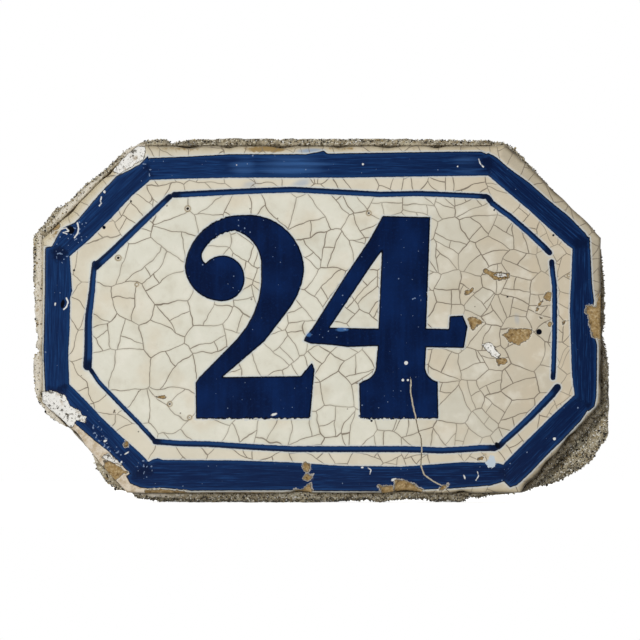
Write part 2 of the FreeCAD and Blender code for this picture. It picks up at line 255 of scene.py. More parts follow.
# The border: eight broad strokes as the brush left them, clockwise from the left one
bandStrokes = [
    [(-98.8, 25.7), (-98.9, 10), (-99.2, -4), (-99.4, -12), (-98.8, -25.5), (-94, -29), (-90, -24),
     (-90.4, -13), (-89.9, -3), (-89.7, 8), (-89, 10.2), (-89.5, 17), (-89.9, 23), (-93, 27)],
    [(-96.4, 26.1), (-94.6, 29.5), (-92.8, 32.5), (-88.3, 34.6), (-86.6, 36.2), (-82.2, 41.6),
     (-77.9, 46.4), (-73.1, 51.4), (-69.1, 53.2), (-64.8, 55.6), (-62, 58.6), (-60.6, 54),
     (-61.1, 49.8), (-67.7, 44.1), (-75.3, 36), (-83, 28.4), (-90.2, 22.3), (-93.4, 20.4),
     (-97, 22.4)],
    [(-63.4, 55.5), (-61.5, 57.7), (-57, 57.9), (-50.5, 58.1), (-32.3, 59.1), (-5.5, 59.1),
     (-1, 59.9), (0.8, 60.4), (2, 59.3), (20, 59.6), (46.6, 60), (57.2, 60), (61.4, 58), (61.5, 55),
     (60.5, 51.4), (46.6, 51.2), (6.6, 50.6), (-32.3, 50.6), (-50.5, 50.2), (-62, 49.8)],
    [(57.2, 57), (59.5, 59.6), (62.5, 58), (66.6, 54.4), (74.3, 48.8), (81.4, 42.5), (88.6, 36.7),
     (94.6, 30.5), (96, 28), (95.4, 25.5), (90.5, 24.6), (87.7, 26.6), (74, 39.1), (59.5, 51.4)],
    [(89.6, 26.8), (92, 30.4), (95.8, 29.4), (96.2, 22), (96.7, 12), (97.4, 6.8), (96.6, 0),
     (97.6, -6), (98.5, -9), (98.4, -21.6), (98.2, -28), (97.5, -31.2), (95.2, -33), (90.6, -28.5),
     (89.8, -23), (89.3, -18), (89, -8), (88.6, 3), (88.9, 10), (89.3, 17)],
    [(96.6, -30.2), (92.8, -36), (86.1, -43.2), (81.7, -47.3), (74.9, -54.5), (69.9, -59.2),
     (67.3, -60), (65.1, -57.9), (62.8, -54.6), (65.5, -51), (72.8, -43.7), (81.5, -35.1),
     (90.3, -26.9)],
    [(-69.9, -55.9), (-68.4, -58.6), (-64.8, -60.1), (-61.1, -60.6), (-56.7, -60.2), (-47, -61.2),
     (-20, -61.1), (-4, -61), (-3.6, -61.3), (20.9, -61.4), (46.6, -60.4), (60.2, -59.4),
     (65.1, -57.9), (67.2, -55.6), (66.1, -52.2), (63.2, -51.3), (57.7, -51), (50, -50.9),
     (35.9, -52), (28.4, -52.5), (6.6, -52.2), (-10.5, -51), (-30, -50.3), (-56.5, -50.1),
     (-58.4, -49.5), (-60, -49.8), (-61.8, -50.8), (-65.5, -53)],
    [(-98.6, -24.6), (-94.5, -31), (-87.5, -37.8), (-81, -43.4), (-76.4, -46.9), (-71.5, -51.9),
     (-68.8, -54.8), (-64.5, -57.5), (-59.6, -55), (-61.6, -51), (-64.6, -47.8), (-71.2, -42),
     (-78.6, -34.9), (-84.4, -28.7), (-90.2, -22.9)],
]
bandTilts = [90, 43, 0, -41, 90, 45, 0, -46]  # how each stroke lies, in degrees
strokePatch = 31.0  # each stroke reads its own patch of the brush's noise, this far from the last
linePatch = 400.0  # and the thin line's patches start here

# The thin line: a path and the stroke's width at both of its ends
lineStrokes = [
    ([(-83.6, -16.6), (-83.3, -10.9), (-83.3, -0.9), (-83.1, 2), (-82.4, 7), (-81.9, 11),
      (-81.7, 14), (-81.1, 20)], (3.2, 1.9)),
    ([(-80.7, 18.9), (-75.5, 23.6), (-64.9, 33.8), (-54.3, 43.8)], (2.7, 2.1)),
    ([(-52.6, 44.5), (-47, 44.8), (-35.5, 45.4), (-22.7, 46), (-9.8, 46.4), (3, 45.7), (21.2, 44.7),
      (34.8, 45), (54.1, 44.2), (58.8, 43.9)], (2.2, 1.9)),
    ([(59.5, 43.5), (60.9, 41.6), (64, 39.2), (67.4, 36.8), (74.1, 31), (79.5, 25.9), (81.4, 23.9)],
     (2, 2.1)),
    ([(82.2, 20.6), (82.6, 16.6), (83.2, 12), (83.3, 6.6), (83.2, -7.3), (82.9, -17), (82.7, -20.8)],
     (1.9, 1.8)),
    ([(84.2, -24.3), (82.1, -27), (75.2, -34.2), (69.5, -39.6), (65.2, -43.4), (63.2, -45.5)],
     (2.7, 2)),
    ([(61.8, -45.9), (56.9, -45.9), (50.5, -46.4), (43, -46.8), (35.9, -46.5), (29, -46.3),
      (6.6, -46.3), (-10.5, -46.3), (-25.2, -45.5), (-40.6, -44.5), (-50.5, -44.3), (-59.4, -43.6)],
     (2.3, 2.1)),
    ([(-60.1, -42.7), (-65.7, -36.6), (-71.6, -30.6), (-74.2, -27.9), (-79.4, -22.5), (-82.4, -18)],
     (1.6, 1.5)),
]

# The long crack that runs down through the 4
mainCrack = [
    (31.9, -21.6), (31.8, -26.2), (32.8, -31.5), (33.6, -34.7), (34.4, -39), (35.6, -42.6),
    (35.8, -47), (35.5, -52.1), (36.6, -55.4), (39.5, -57.5), (43, -59.4), (46.6, -62.4),
]

# Where the glaze has come away: outlines down to the tan biscuit, and down to its white slip
biscuitChips = [
    [(57.3, 18.1), (58.6, 18.2), (61.1, 17.2), (64, 17), (67, 16.5), (67.1, 14.6), (64.4, 14.5),
     (63.5, 13.6), (62, 13.7), (60.4, 15.2), (57.7, 16.5)],
    [(50.9, 10.1), (51.8, 10.5), (52.8, 10.1), (54.2, 11.2), (54.4, 10.5), (53.1, 9.4), (52.4, 8.5),
     (51.1, 8.6)],
    [(79, 8.3), (80.4, 9.9), (81.7, 9.5), (81.5, 6.8), (80.4, 7), (79.2, 7.5)],
    [(77.4, 5.4), (78.6, 7.2), (79, 6.5), (77.9, 4.8)],
    [(76.4, 3.9), (77.2, 4.5), (77.8, 3.7), (77.2, 2.4), (76.4, 2.8)],
    [(52.2, 0.3), (52.9, 1), (54.9, 1), (56.7, 0.3), (58.2, -1), (54.9, -3), (53.8, -3.9),
     (52.9, -2.3)],
    [(64.8, -5.6), (67, -3.6), (69.9, -3.2), (72.8, -3), (74.6, -3.4), (75.3, -4.5), (74.6, -6.3),
     (72.9, -8.1), (70.1, -9), (67.3, -8.1)],
    [(62.2, -14.3), (64, -13.6), (66.2, -14.3), (65.9, -15.8), (63.3, -16.5)],
    [(94.1, 2.8), (94.6, 4.8), (97.2, 4.5), (98.3, 4.6), (98.7, 7.9), (99.9, 9.4), (101.5, 6.5),
     (101.5, -7.3), (97.2, -6.3), (96.1, -4.5), (95.6, -0.1), (94.5, 2.1)],
    [(20.5, -59.4), (22.7, -59.2), (25.6, -59.7), (25.6, -61.2), (23, -63.5), (21.2, -61.2)],
    [(26.4, -57.5), (27.8, -57.4), (30.7, -57.7), (32.9, -59), (35.8, -60.8), (35.1, -63.5),
     (25.6, -63.5)],
    [(-78, -50.3), (-75.3, -50.6), (-72.4, -52.4), (-69.1, -54.6), (-71.3, -55.7), (-73.5, -57.6),
     (-75, -56.5), (-77.5, -53.5)],
    [(-63.4, -60.8), (-55, -60.6), (-47, -61.6), (-52, -63.2), (-63, -63.2)],
    [(-7, -52.3), (-5.9, -51.2), (-4.1, -51.6), (-3.8, -53.4), (-5.2, -54.5), (-6.6, -53.4)],
    [(-6.6, -56.6), (-5.5, -55.2), (-3, -55.5), (-3.4, -57), (-4.8, -57.7)],
    [(-6.6, -60.5), (-5.2, -59.1), (-3.8, -58), (-3.4, -60.9), (-4.1, -63), (-12, -62.3),
     (-9.1, -60.7)],
]
smallChips = [
    (78.6, 0.4, 0.8, 0.9, 0), (81.4, -1.8, 0.8, 1.1, 0), (86.8, -0.8, 1.1, 2, -40),
    (-57.3, -27.7, 3.6, 1.2, 0), (57.3, -49.5, 2.4, 1, 30), (43.6, -59.9, 1.6, 3.4, -52),
    (-95, 33.2, 4.6, 2.2, 45), (-73.9, -32.7, 1, 1.8, 20), (-69.7, -44.4, 1.7, 1.7, 0),
]
whiteChips = [
    [(-98, -25.2), (-94.6, -25.5), (-91.7, -27), (-90.6, -28.7), (-89.5, -30.6), (-88.1, -31.7),
     (-86.3, -32.8), (-85.9, -34.2), (-84.1, -34.6), (-84.4, -36.7), (-87, -36.4), (-88.1, -36.6),
     (-88.4, -37.9), (-89.5, -38.6), (-91.4, -38), (-93.5, -36.9), (-98, -34), (-102, -29.1),
     (-101, -26.5)],
    [(-63.1, 61.9), (-62.7, 59), (-64, 56.8), (-67, 55.3), (-69.1, 53.5), (-72, 52), (-74.6, 52.8),
     (-73.1, 55), (-71.3, 57.5), (-69.1, 59.7), (-65.5, 61.9)],
    [(57.1, -8.9), (58.6, -8.3), (61.1, -8.5), (62, -10.5), (64, -12.5), (63.3, -14), (61.5, -13.6),
     (58.9, -11)],
    [(61.9, 16.7), (66.2, 16.5), (66.6, 15), (63.3, 15), (61.5, 15.9)],
    [(-78.6, -49.2), (-75.8, -47.7), (-72.6, -50.2), (-71.1, -52), (-73, -51.9), (-75.7, -50.6)],
]
# White specks, most of them painted highlights on blisters and pits
whiteMarks = [
    (-95.1, 5.5, 0.6, 1.1, 0), (-77.5, 45.6, 1, 1, 0), (-77.3, -43.4, 1.3, 0.8, 30),
    (14.8, 55.5, 0.7, 0.7, 0), (-69.7, -47.8, 1.5, 0.45, 30), (-71.6, -51.2, 0.7, 1.6, -20),
    (48.6, 54.6, 0.5, 0.5, 0), (51.1, -56.3, 0.6, 1.6, 20), (-30.3, 55.2, 0.5, 0.5, 0),
    (30.2, -15.5, 1.3, 1.3, 0), (29.1, -21.6, 1, 1, 0), (30.9, -21.6, 0.7, 0.7, 0),
    (83.2, -42.6, 1, 1, 0), (25.6, -57.2, 2, 0.8, 20), (14.6, -52.8, 0.9, 0.6, 0),
    (-17, -33.9, 2.2, 0.8, 15),
]
# Curved scratches, and painted highlights on the lips of blisters, as a path and a width
scratches = [
    ([(-87.2, 34.5), (-86.8, 32.7), (-87, 30.9), (-88.2, 29.3)], 0.5),
    ([(-92.8, 32.3), (-91.3, 32.7), (-90.2, 31.6), (-92.3, 31.1), (-90.9, 30.5)], 0.35),
    ([(-78.6, 43.8), (-79, 42.3), (-78.6, 41.6), (-79.4, 40.5)], 0.35),
    ([(-91.1, 7.7), (-90.5, 6.3), (-91.1, 4.5), (-92.1, 3.6)], 0.5),
    ([(55.7, -54.3), (56.1, -55.9), (55.1, -57.5)], 0.3),
    ([(16.6, -53), (17.7, -53.7), (17.3, -55.2)], 0.3),
    ([(56.2, 57.3), (56.7, 55.6), (57.8, 54.5)], 0.35),
    ([(-84.5, 45.6), (-81.8, 47.9), (-80, 50.2)], 0.5),
]
palePatches = [
    [(60.4, -47.6), (61.4, -49), (62.3, -51), (61.3, -52.7), (59.4, -52.3), (58.3, -51.2),
     (59.7, -49.6)],
]
# Where the glaze is lost and its pale slip shows beside the paint
slipStrips = [
    [(-91, -37.7), (-87.2, -37.2), (-82.9, -41), (-78.8, -44.6), (-74.7, -48.1), (-71.7, -51.2),
     (-68, -54.5), (-66, -57.4), (-60, -60), (-60, -64), (-72, -63), (-80, -56), (-85, -48),
     (-90, -41.2)],
]
# Dark cobalt dots; the two on the left band beside blisters are painted shadows
darkSpots = [
    (77.7, -4.4, 2.1, 2.1, 0), (-77.7, 32.9, 1.3, 1.3, 0), (-68, 42.2, 0.8, 0.8, 0),
    (-88.4, 17.6, 0.9, 0.9, 0), (82.8, 30.1, 0.9, 0.9, 0), (61.7, 39.1, 0.8, 0.8, 0),
    (17.9, -36.2, 0.9, 0.9, 0), (66.4, 8.1, 0.8, 0.8, 0), (-65.4, -40, 0.7, 0.7, 0),
    (-92.4, 5.6, 1.4, 3.2, -10), (-89.6, 32, 2.6, 3, 20), (62.8, -44.9, 1.6, 2.6, 30),
]
pits = [
    (-47.8, 39.6, 1.9, 1.9, 0), (-72.6, 22, 2, 1.8, 0), (16.9, 38, 1.6, 1.6, 0),
    (-54.2, -30.2, 1.6, 1.6, 0), (-47.1, -35, 1.4, 1.4, 0), (88.3, 15.7, 1, 1, 0),
    (-66, 12.5, 1.2, 1.2, 0),
]
# Soft marks (x, z, width, height, turn, strength)
blueWashes = [
    (-25, 48.3, 8, 3.4, 8, 0.4), (-7.4, 48.6, 9, 3.8, 12, 0.6), (-4, 60.2, 12, 2.2, 2, 0.7),
    (69.8, 0.2, 2.6, 5.6, 10, 0.4), (-10, 55, 34, 9, 0, 0.45), (-28, 55, 14, 9, 0, 0.4),
    (52, 55.5, 16, 9, -4, 0.36), (7.4, -3.6, 5.5, 1.8, 0, 0.9), (-4.6, -5.4, 2.6, 2.4, 0, 0.8),
    (-29, 36.6, 9, 1.4, -20, 0.4),
]
brownStains = [
    (-20, 60.8, 17, 2.6, 0, 1.0), (-50, 61, 20, 1.6, 0, 0.5), (8, 61, 14, 1.6, 0, 0.5),
    (-72, 21.4, 3.4, 2.6, 0, 0.4), (-47.8, 39, 4, 3, 0, 0.3), (35.6, -47, 1.6, 10, 0, 0.35),
    (-57, -62, 12, 2.4, 0, 1.0), (-30, -62, 40, 1.6, 0, 0.7), (58, -49, 4, 2.4, 20, 0.5),
    (-95, 30, 7, 4, 45, 0.6), (-72, 54, 6, 3, 45, 0.6), (99.4, 6, 2, 12, 0, 0.8),
    (20, -61.6, 30, 1.6, 0, 0.7),
]
# Where a sprinkling of nicks shows in the paint
nickedPlaces = [
    (-79, -42, 13, 6, -45, 1.0), (-73.6, -47.6, 10, 5, -45, 1.0), (-87, 31.6, 12, 9, 40, 0.9),
    (-92.7, 24.6, 8, 9, 0, 0.8), (-61.6, 54.5, 6, 8, 0, 0.7), (-63, -53, 8, 8, 0, 0.8),
    (65.5, -53, 5, 7, 0, 0.6), (5, -3, 12, 6, 0, 0.5), (33, 8, 8, 4, 0, 0.6),
    (-28, 31, 10, 6, 0, 0.5),
]
# Where a figure's edge is torn, and not brushed
raggedEdges = [
    (-36.5, 32, 12, 10, 30, 0.5), (-24.5, -34.9, 42, 3, 0, 0.7), (-4.6, -20, 3, 26, 0, 0.3),
    (20, -34.9, 40, 3, 0, 0.9), (31, -33.5, 14, 4, 0, 0.8), (11, 8, 30, 3, 0, 0.3),
    (38, 8, 12, 3, 0, 0.4),
]


def placeFigure(outline, left):
    scale = figureShape["height"] / 100
    foot = twoLow.z / mm
    scaled = [
        (left + entry[0] * scale, foot + entry[1] * scale, *[value * scale for value in entry[2:3]], *entry[3:])
        for entry in outline
    ]
    return bendCorners(scaled)


def tileCorners():
    low = (tileLow.x / mm, tileLow.z / mm)
    high = (tileHigh.x / mm, tileHigh.z / mm)
    corners = []
    for (across, up), (wide, tall) in tileShape["cornerCuts"].items():
        x = high[0] if across > 0 else low[0]
        z = high[1] if up > 0 else low[1]
        onSide = (x, z - up * tall)
        onTop = (x - across * wide, z)
        corners += [onSide, onTop] if across * up < 0 else [onTop, onSide]
    return np.array(corners)


def softMarks(places, marks):
    total = np.zeros(len(places))
    for x, z, width, height, turn, strength in marks:
        reach = spotDistance(places, [(x, z, width, height, turn)]) / (min(width, height) / 2) + 1
        total = np.maximum(total, strength * (1 - smoothStep(reach, 0.2, 1.5)))
    return total


def placesOf(verts):
    # Where vertices lie on the face, as (x, z) in millimetres
    return np.array([(vert.co.x, vert.co.z) for vert in verts]) / mm


def readFace(places):
    # Everything that is drawn or broken on the face, as distances at places (x, z) on it
    face = {}
    strokes = np.array([outlineDistance(places, np.array(stroke)) for stroke in bandStrokes])
    face["bandEdge"], face["bandOverlap"] = np.sort(strokes, axis=0)[:2]
    nearest = strokes.argmin(axis=0)
    way = np.zeros((len(places), 3))
    for index, (stroke, tilt) in enumerate(zip(bandStrokes, bandTilts)):
        angle = math.radians(tilt)
        offset = places - np.array(stroke).mean(axis=0)
        along = offset[:, 0] * math.cos(angle) + offset[:, 1] * math.sin(angle)
        across = offset[:, 1] * math.cos(angle) - offset[:, 0] * math.sin(angle)
        patch = np.full(len(places), index * strokePatch)
        chosen = nearest == index
        way[chosen] = np.stack([along, across, patch], axis=1)[chosen]
    face["lineEdge"] = np.full(len(places), 1e9)
    face["lineBody"] = np.zeros(len(places))
    for index, (path, widths) in enumerate(lineStrokes):
        edge, along, across = strokeDistance(places, path, widths)
        closer = edge < face["lineEdge"]
        face["lineEdge"] = np.minimum(face["lineEdge"], edge)
        own = closer & (face["bandEdge"] > 1.5) & (edge < 1.5)
        patch = np.full(len(places), linePatch + index * strokePatch)
        way[own] = np.stack([along, across, patch], axis=1)[own]
        length = sum(math.dist(a, b) for a, b in zip(path, path[1:]))
        body = smoothStep(np.minimum(along, length - along), 0.5, 4.0)
        face["lineBody"] = np.where(closer, body, face["lineBody"])
    face["strokeWay"] = way
    figures = [
        outlineDistance(places, placeFigure(figureShape[name], low.x / mm))
        for name, low in (("two", twoLow), ("four", fourLow), ("fourOpening", fourLow))
    ]
    face["figureEdge"] = np.minimum(figures[0], np.maximum(figures[1], -figures[2]))
    outlined = {
        "chipEdge": biscuitChips, "whiteEdge": whiteChips, "paleEdge": palePatches,
        "slipEdge": slipStrips,
    }
    for name, outlines in outlined.items():
        edges = [outlineDistance(places, np.array(outline)) for outline in outlines]
        face[name] = np.min(edges, axis=0)
    marks = [strokeDistance(places, path, (width, width))[0] for path, width in scratches]
    face["markEdge"] = np.min(marks, axis=0)
    for name, spots in {"chipEdge": smallChips, "markEdge": whiteMarks}.items():
        face[name] = np.minimum(face[name], spotDistance(places, spots))
    for name, spots in {"spotEdge": darkSpots, "pitEdge": pits}.items():
        face[name] = spotDistance(places, spots)
    softly = {
        "nicked": nickedPlaces, "blueWash": blueWashes, "brownStain": brownStains,
        "ragged": raggedEdges,
    }
    for name, spots in softly.items():
        face[name] = softMarks(places, spots)
    face["crackEdge"], _, side = strokeDistance(places, mainCrack, (0.0, 0.0))
    face["crackSide"] = np.where(side < 0, -1.0, 1.0) * face["crackEdge"]
    face["rimInside"] = -outlineDistance(places, tileCorners())
    return face


def rimNormals(places):
    # The outward direction of the tile's nearest side
    corners = tileCorners()
    nearest = np.full(len(places), 1e9)
    normals = np.zeros((len(places), 2))
    for start, end in zip(corners, np.roll(corners, -1, axis=0)):
        way = (end - start) / np.linalg.norm(end - start)
        normal = np.array([way[1], -way[0]])
        if normal @ start < 0:
            normal = -normal
        away = np.abs((places - start) @ normal)
        closer = away < nearest
        nearest = np.where(closer, away, nearest)
        normals[closer] = normal
    return normals


print("glaze")

glazeLook = {
    "leftGlaze": "E6E3D3", "rightGlazeAndShade": "CCC0AA", "warmGlaze": "DBCBB0", "coolGlaze": "D3D6CB",
    "dullGlaze": "C4BBA5", "brightGlazeAndGlint": "F4F0E3", "grimeAndShade": "97835F", "rimGlaze": "C6B897",
    "rimPaintedShade": "B3A994", "rimShadow": "746853", "craze": "857A6B",
    "crazeHalf": 0.21,      # half the width of a craze line
    "cellSize": 10.7,       # before its splits, at the middle; smaller at the right and wider at the left
    "unsplit": 0.78,        # the share of cells that split
    "shadeDark": "2A241B", "speck": "5A4A38", "halo": "CBD2D6", "wash": "7C9CC2", "stain": "94763F",
    "roughness": 0.22, "specular": 0.07,
}
cobaltLook = {
    "band": "132E5B", "bandLight": "20497F", "bandDeepAndShade": "0C1E44", "bandDark": "0A1838", "watery": "4470AC",
    "line": "1B3D6E", "lineDark": "0A1834", "figure": "08183B", "figureLight": "0F2F67", "rim": "050916",
    "nick": "7E93B3",
}
breakLook = {
    "biscuit": "A4885B", "biscuitLight": "D2BC94", "biscuitDark": "6E5534", "slip": "FBF9F3",
    "slipBare": "E3D6C3", "slipStain": "B39C78",
    "slipDark": "4B4437", "outline": "2C2012", "pale": "E9E1CF", "paleBlue": "C6D2DC",
    "glint": "ECEDEA", "crackPale": "CFC5AE", "crackDark": "4A3B28",
}


def makeGlaze():
    # Tin-glazed earthenware, hand painted and fired: an opaque cream skin with a soft gloss, crazed
    # all over, with the cobalt sunk in it, and matt tan biscuit wherever it has flaked off.
    material, tree = newMaterial("tinGlazeOverBiscuit")
    look, cobalt, broken = glazeLook, cobaltLook, breakLook
    objectPlace = addNode(tree, "TexCoord", out="Object")
    place = addNode(tree, "VectorMath", {0: objectPlace, 3: 1 / mm}, operation="SCALE")
    x = addNode(tree, "SeparateXYZ", {0: place})
    z = addNode(tree, "SeparateXYZ", {0: place}, out=2)
    way = addNode(tree, "Attribute", out="Vector", attribute_name="strokeWay")
    across = addNode(tree, "SeparateXYZ", {0: way}, out=1)
    brushed = addNode(tree, "VectorMath", {0: way, 1: (0.045, 1.0, 1.0)}, operation="MULTIPLY")
    upright = addNode(tree, "VectorMath", {0: place, 1: (1.0, 1.0, 0.07)}, operation="MULTIPLY")

    # Noises: the size of their features in millimetres, detail, roughness, and what they lie along
    noises = {
        "region": (34, 2, 0.5, place), "patch": (17, 3, 0.5, place), "mottle": (7, 4, 0.55, place),
        "peel": (3.2, 3, 0.5, place), "wander": (1.2, 4, 0.6, place), "tooth": (2.6, 4, 0.72, place),
        "grit": (0.9, 4, 0.72, place), "clod": (1.9, 4, 0.65, place), "lump": (3.4, 2, 0.5, place),
        "bristle": (0.5, 3, 0.7, brushed), "stroke": (2.3, 2, 0.5, brushed),
        "drag": (2.6, 3, 0.6, upright), "nick": (1.0, 0, 0.5, place), "worn": (15, 2, 0.5, place),
    }
    read = {}
    for name, (size, detail, rough, vector) in noises.items():
        inputs = {"Vector": vector, "Scale": 1 / size, "Detail": detail, "Roughness": rough}
        read[name] = addNode(tree, "TexNoise", inputs)
    stored = ["bandEdge", "bandOverlap", "lineEdge", "lineBody", "figureEdge", "chipEdge",
              "whiteEdge", "markEdge", "paleEdge", "slipEdge", "spotEdge", "pitEdge", "crackEdge",
              "crackSide", "nicked", "blueWash", "brownStain", "ragged",
              "rimInside", "rimShade", "wallDepth"]
    for name in stored:
        read[name] = addNode(tree, "Attribute", out="Fac", attribute_name=name)

    # The crack is where its side changes, near enough to its path
    crackBody = addNode(tree, "Math", {0: read["crackEdge"], 1: 0.9}, operation="SUBTRACT")
    crackSide = addNode(tree, "Math", {0: read["wander"], 1: 0.6, 2: read["crackSide"]}, operation="MULTIPLY_ADD")
    crackSide = addNode(tree, "Math", {0: crackSide, 1: 0.3}, operation="SUBTRACT")
    crackSide = addNode(tree, "Math", {0: crackSide}, operation="ABSOLUTE")
    read["crackEdge"] = addNode(tree, "Math", {0: crackSide, 1: crackBody}, operation="MAXIMUM")

    # Every edge wanders a little, in millimetres, as a brush or a break does
    wander = addNode(tree, "Math", {0: read["wander"], 1: 0.5}, operation="SUBTRACT")
    tooth = addNode(tree, "Math", {0: read["tooth"], 1: 0.5}, operation="SUBTRACT")
    tear = addNode(tree, "Math", {0: read["ragged"], 1: 3.4, 2: 0.34}, operation="MULTIPLY_ADD")
    wavers = {
        "figureEdge": (wander, tear), "bandEdge": (wander, 0.4), "lineEdge": (wander, 0.42),
        "bandOverlap": (tooth, 6.5), "paleEdge": (tooth, 4.5), "slipEdge": (tooth, 3.0), "spotEdge": (wander, 0.3),
        "chipEdge": (tooth, 3.2), "whiteEdge": (tooth, 2.8), "markEdge": (wander, 0.6),
    }
    for name, (source, amount) in wavers.items():
        read[name] = addNode(tree, "Math", {0: source, 1: amount, 2: read[name]}, operation="MULTIPLY_ADD")
    paintEdge = addNode(tree, "Math", {0: read["figureEdge"], 1: read["bandEdge"]}, operation="MINIMUM")
    paintEdge = addNode(tree, "Math", {0: paintEdge, 1: read["lineEdge"]}, operation="MINIMUM")
    bare = addNode(tree, "MapRange", {0: paintEdge, 1: -0.25, 2: 0.05, 3: 0.1}, interpolation_type="SMOOTHSTEP")

    # Crazing: curved cells, most of them split through the middle and again across one of the halves
    growth = addNode(tree, "Math", {0: x, 1: 1 / 340, 2: 1.0}, operation="MULTIPLY_ADD")
    halfGrowth = addNode(tree, "Math", {0: x, 1: 1 / 680, 2: 1.0}, operation="MULTIPLY_ADD")
    spreadX = addNode(tree, "Math", {0: x, 1: halfGrowth}, operation="MULTIPLY")
    spreadZ = addNode(tree, "Math", {0: z, 1: growth}, operation="MULTIPLY")
    crazePlace = addNode(tree, "CombineXYZ", {0: spreadX, 1: spreadZ})
    for size, reach in [(14, 6.5), (3.5, 1.1)]:
        bend = addNode(tree, "TexNoise", {"Vector": place, "Scale": 1 / size, "Detail": 1.0}, out="Color")
        bend = addNode(tree, "VectorMath", {0: bend, 1: (0.5, 0.5, 0.5)}, operation="SUBTRACT")
        bend = addNode(tree, "VectorMath", {0: bend, 3: reach}, operation="SCALE")
        crazePlace = addNode(tree, "VectorMath", {0: crazePlace, 1: bend}, operation="ADD")
    cell = {"Vector": crazePlace, "Scale": 1 / look["cellSize"], "Randomness": 0.85}
    tint = addNode(tree, "TexVoronoi", cell, out="Color", voronoi_dimensions="2D")
    middle = tint.node.outputs["Position"]
    cellTone = addNode(tree, "SeparateColor", {0: tint})
    splits, halfPick = cellTone.node.outputs[1:3]
    turn = addNode(tree, "Math", {0: cellTone, 1: 2 * math.pi}, operation="MULTIPLY")
    turned = {"Vector": crazePlace, "Center": middle, "Angle": turn}
    turned = addNode(tree, "VectorRotate", turned, rotation_type="Z_AXIS")
    turned = addNode(tree, "VectorMath", {0: turned, 1: middle}, operation="SUBTRACT")
    along = addNode(tree, "SeparateXYZ", {0: turned})
    upward = along.node.outputs[1]
    half = addNode(tree, "Math", {0: along}, operation="SIGN")
    whole = addNode(tree, "Math", {0: splits, 1: look["unsplit"]}, operation="GREATER_THAN")
    firstSplit = addNode(tree, "Math", {0: along}, operation="ABSOLUTE")
    firstSplit = addNode(tree, "Math", {0: whole, 1: 99.0, 2: firstSplit}, operation="MULTIPLY_ADD")
    offset = addNode(tree, "Math", {0: halfPick, 1: 2.0, 2: upward}, operation="MULTIPLY_ADD")
    secondSplit = addNode(tree, "Math", {0: offset}, operation="ABSOLUTE")
    chosenHalf = addNode(tree, "Math", {0: halfPick, 1: 0.45}, operation="SUBTRACT")
    chosenHalf = addNode(tree, "Math", {0: chosenHalf, 1: half}, operation="MULTIPLY")
    chosenHalf = addNode(tree, "Math", {0: chosenHalf, 1: 0.04}, operation="LESS_THAN")
    secondSplit = addNode(tree, "Math", {0: chosenHalf, 1: 99.0, 2: secondSplit}, operation="MULTIPLY_ADD")
    secondSplit = addNode(tree, "Math", {0: whole, 1: 99.0, 2: secondSplit}, operation="MULTIPLY_ADD")
    edge = addNode(tree, "TexVoronoi", cell, voronoi_dimensions="2D", feature="DISTANCE_TO_EDGE")
    edge = addNode(tree, "Math", {0: edge, 1: look["cellSize"]}, operation="MULTIPLY")
    for split in (firstSplit, secondSplit):
        edge = addNode(tree, "Math", {0: edge, 1: split}, operation="MINIMUM")
    edge = addNode(tree, "Math", {0: edge, 1: growth}, operation="DIVIDE")
    fresh = addNode(tree, "MapRange", {0: read["worn"], 1: 0.35, 2: 0.62, 3: 0.65}, interpolation_type="SMOOTHSTEP")
    craze = {0: edge, 1: look["crazeHalf"] * 0.25, 2: look["crazeHalf"] * 1.25, 3: fresh, 4: 0.0}
    craze = addNode(tree, "MapRange", craze, interpolation_type="SMOOTHSTEP")
    craze = addNode(tree, "Math", {0: craze, 1: bare}, operation="MULTIPLY")

    # Pinholes: one small brown speck in some of the cells of a 5 mm grid
    pinCell = {"Vector": place, "Scale": 1 / 5}
    pinPick = addNode(tree, "SeparateColor", {0: addNode(tree, "TexVoronoi", pinCell, out="Color")})
    pinReach = addNode(tree, "MapRange", {0: pinPick, 1: 0.6, 2: 1.0, 4: 0.085})
    pinAway = addNode(tree, "TexVoronoi", pinCell, out="Distance")
    pinhole = addNode(tree, "Math", {0: pinAway, 1: pinReach}, operation="LESS_THAN")
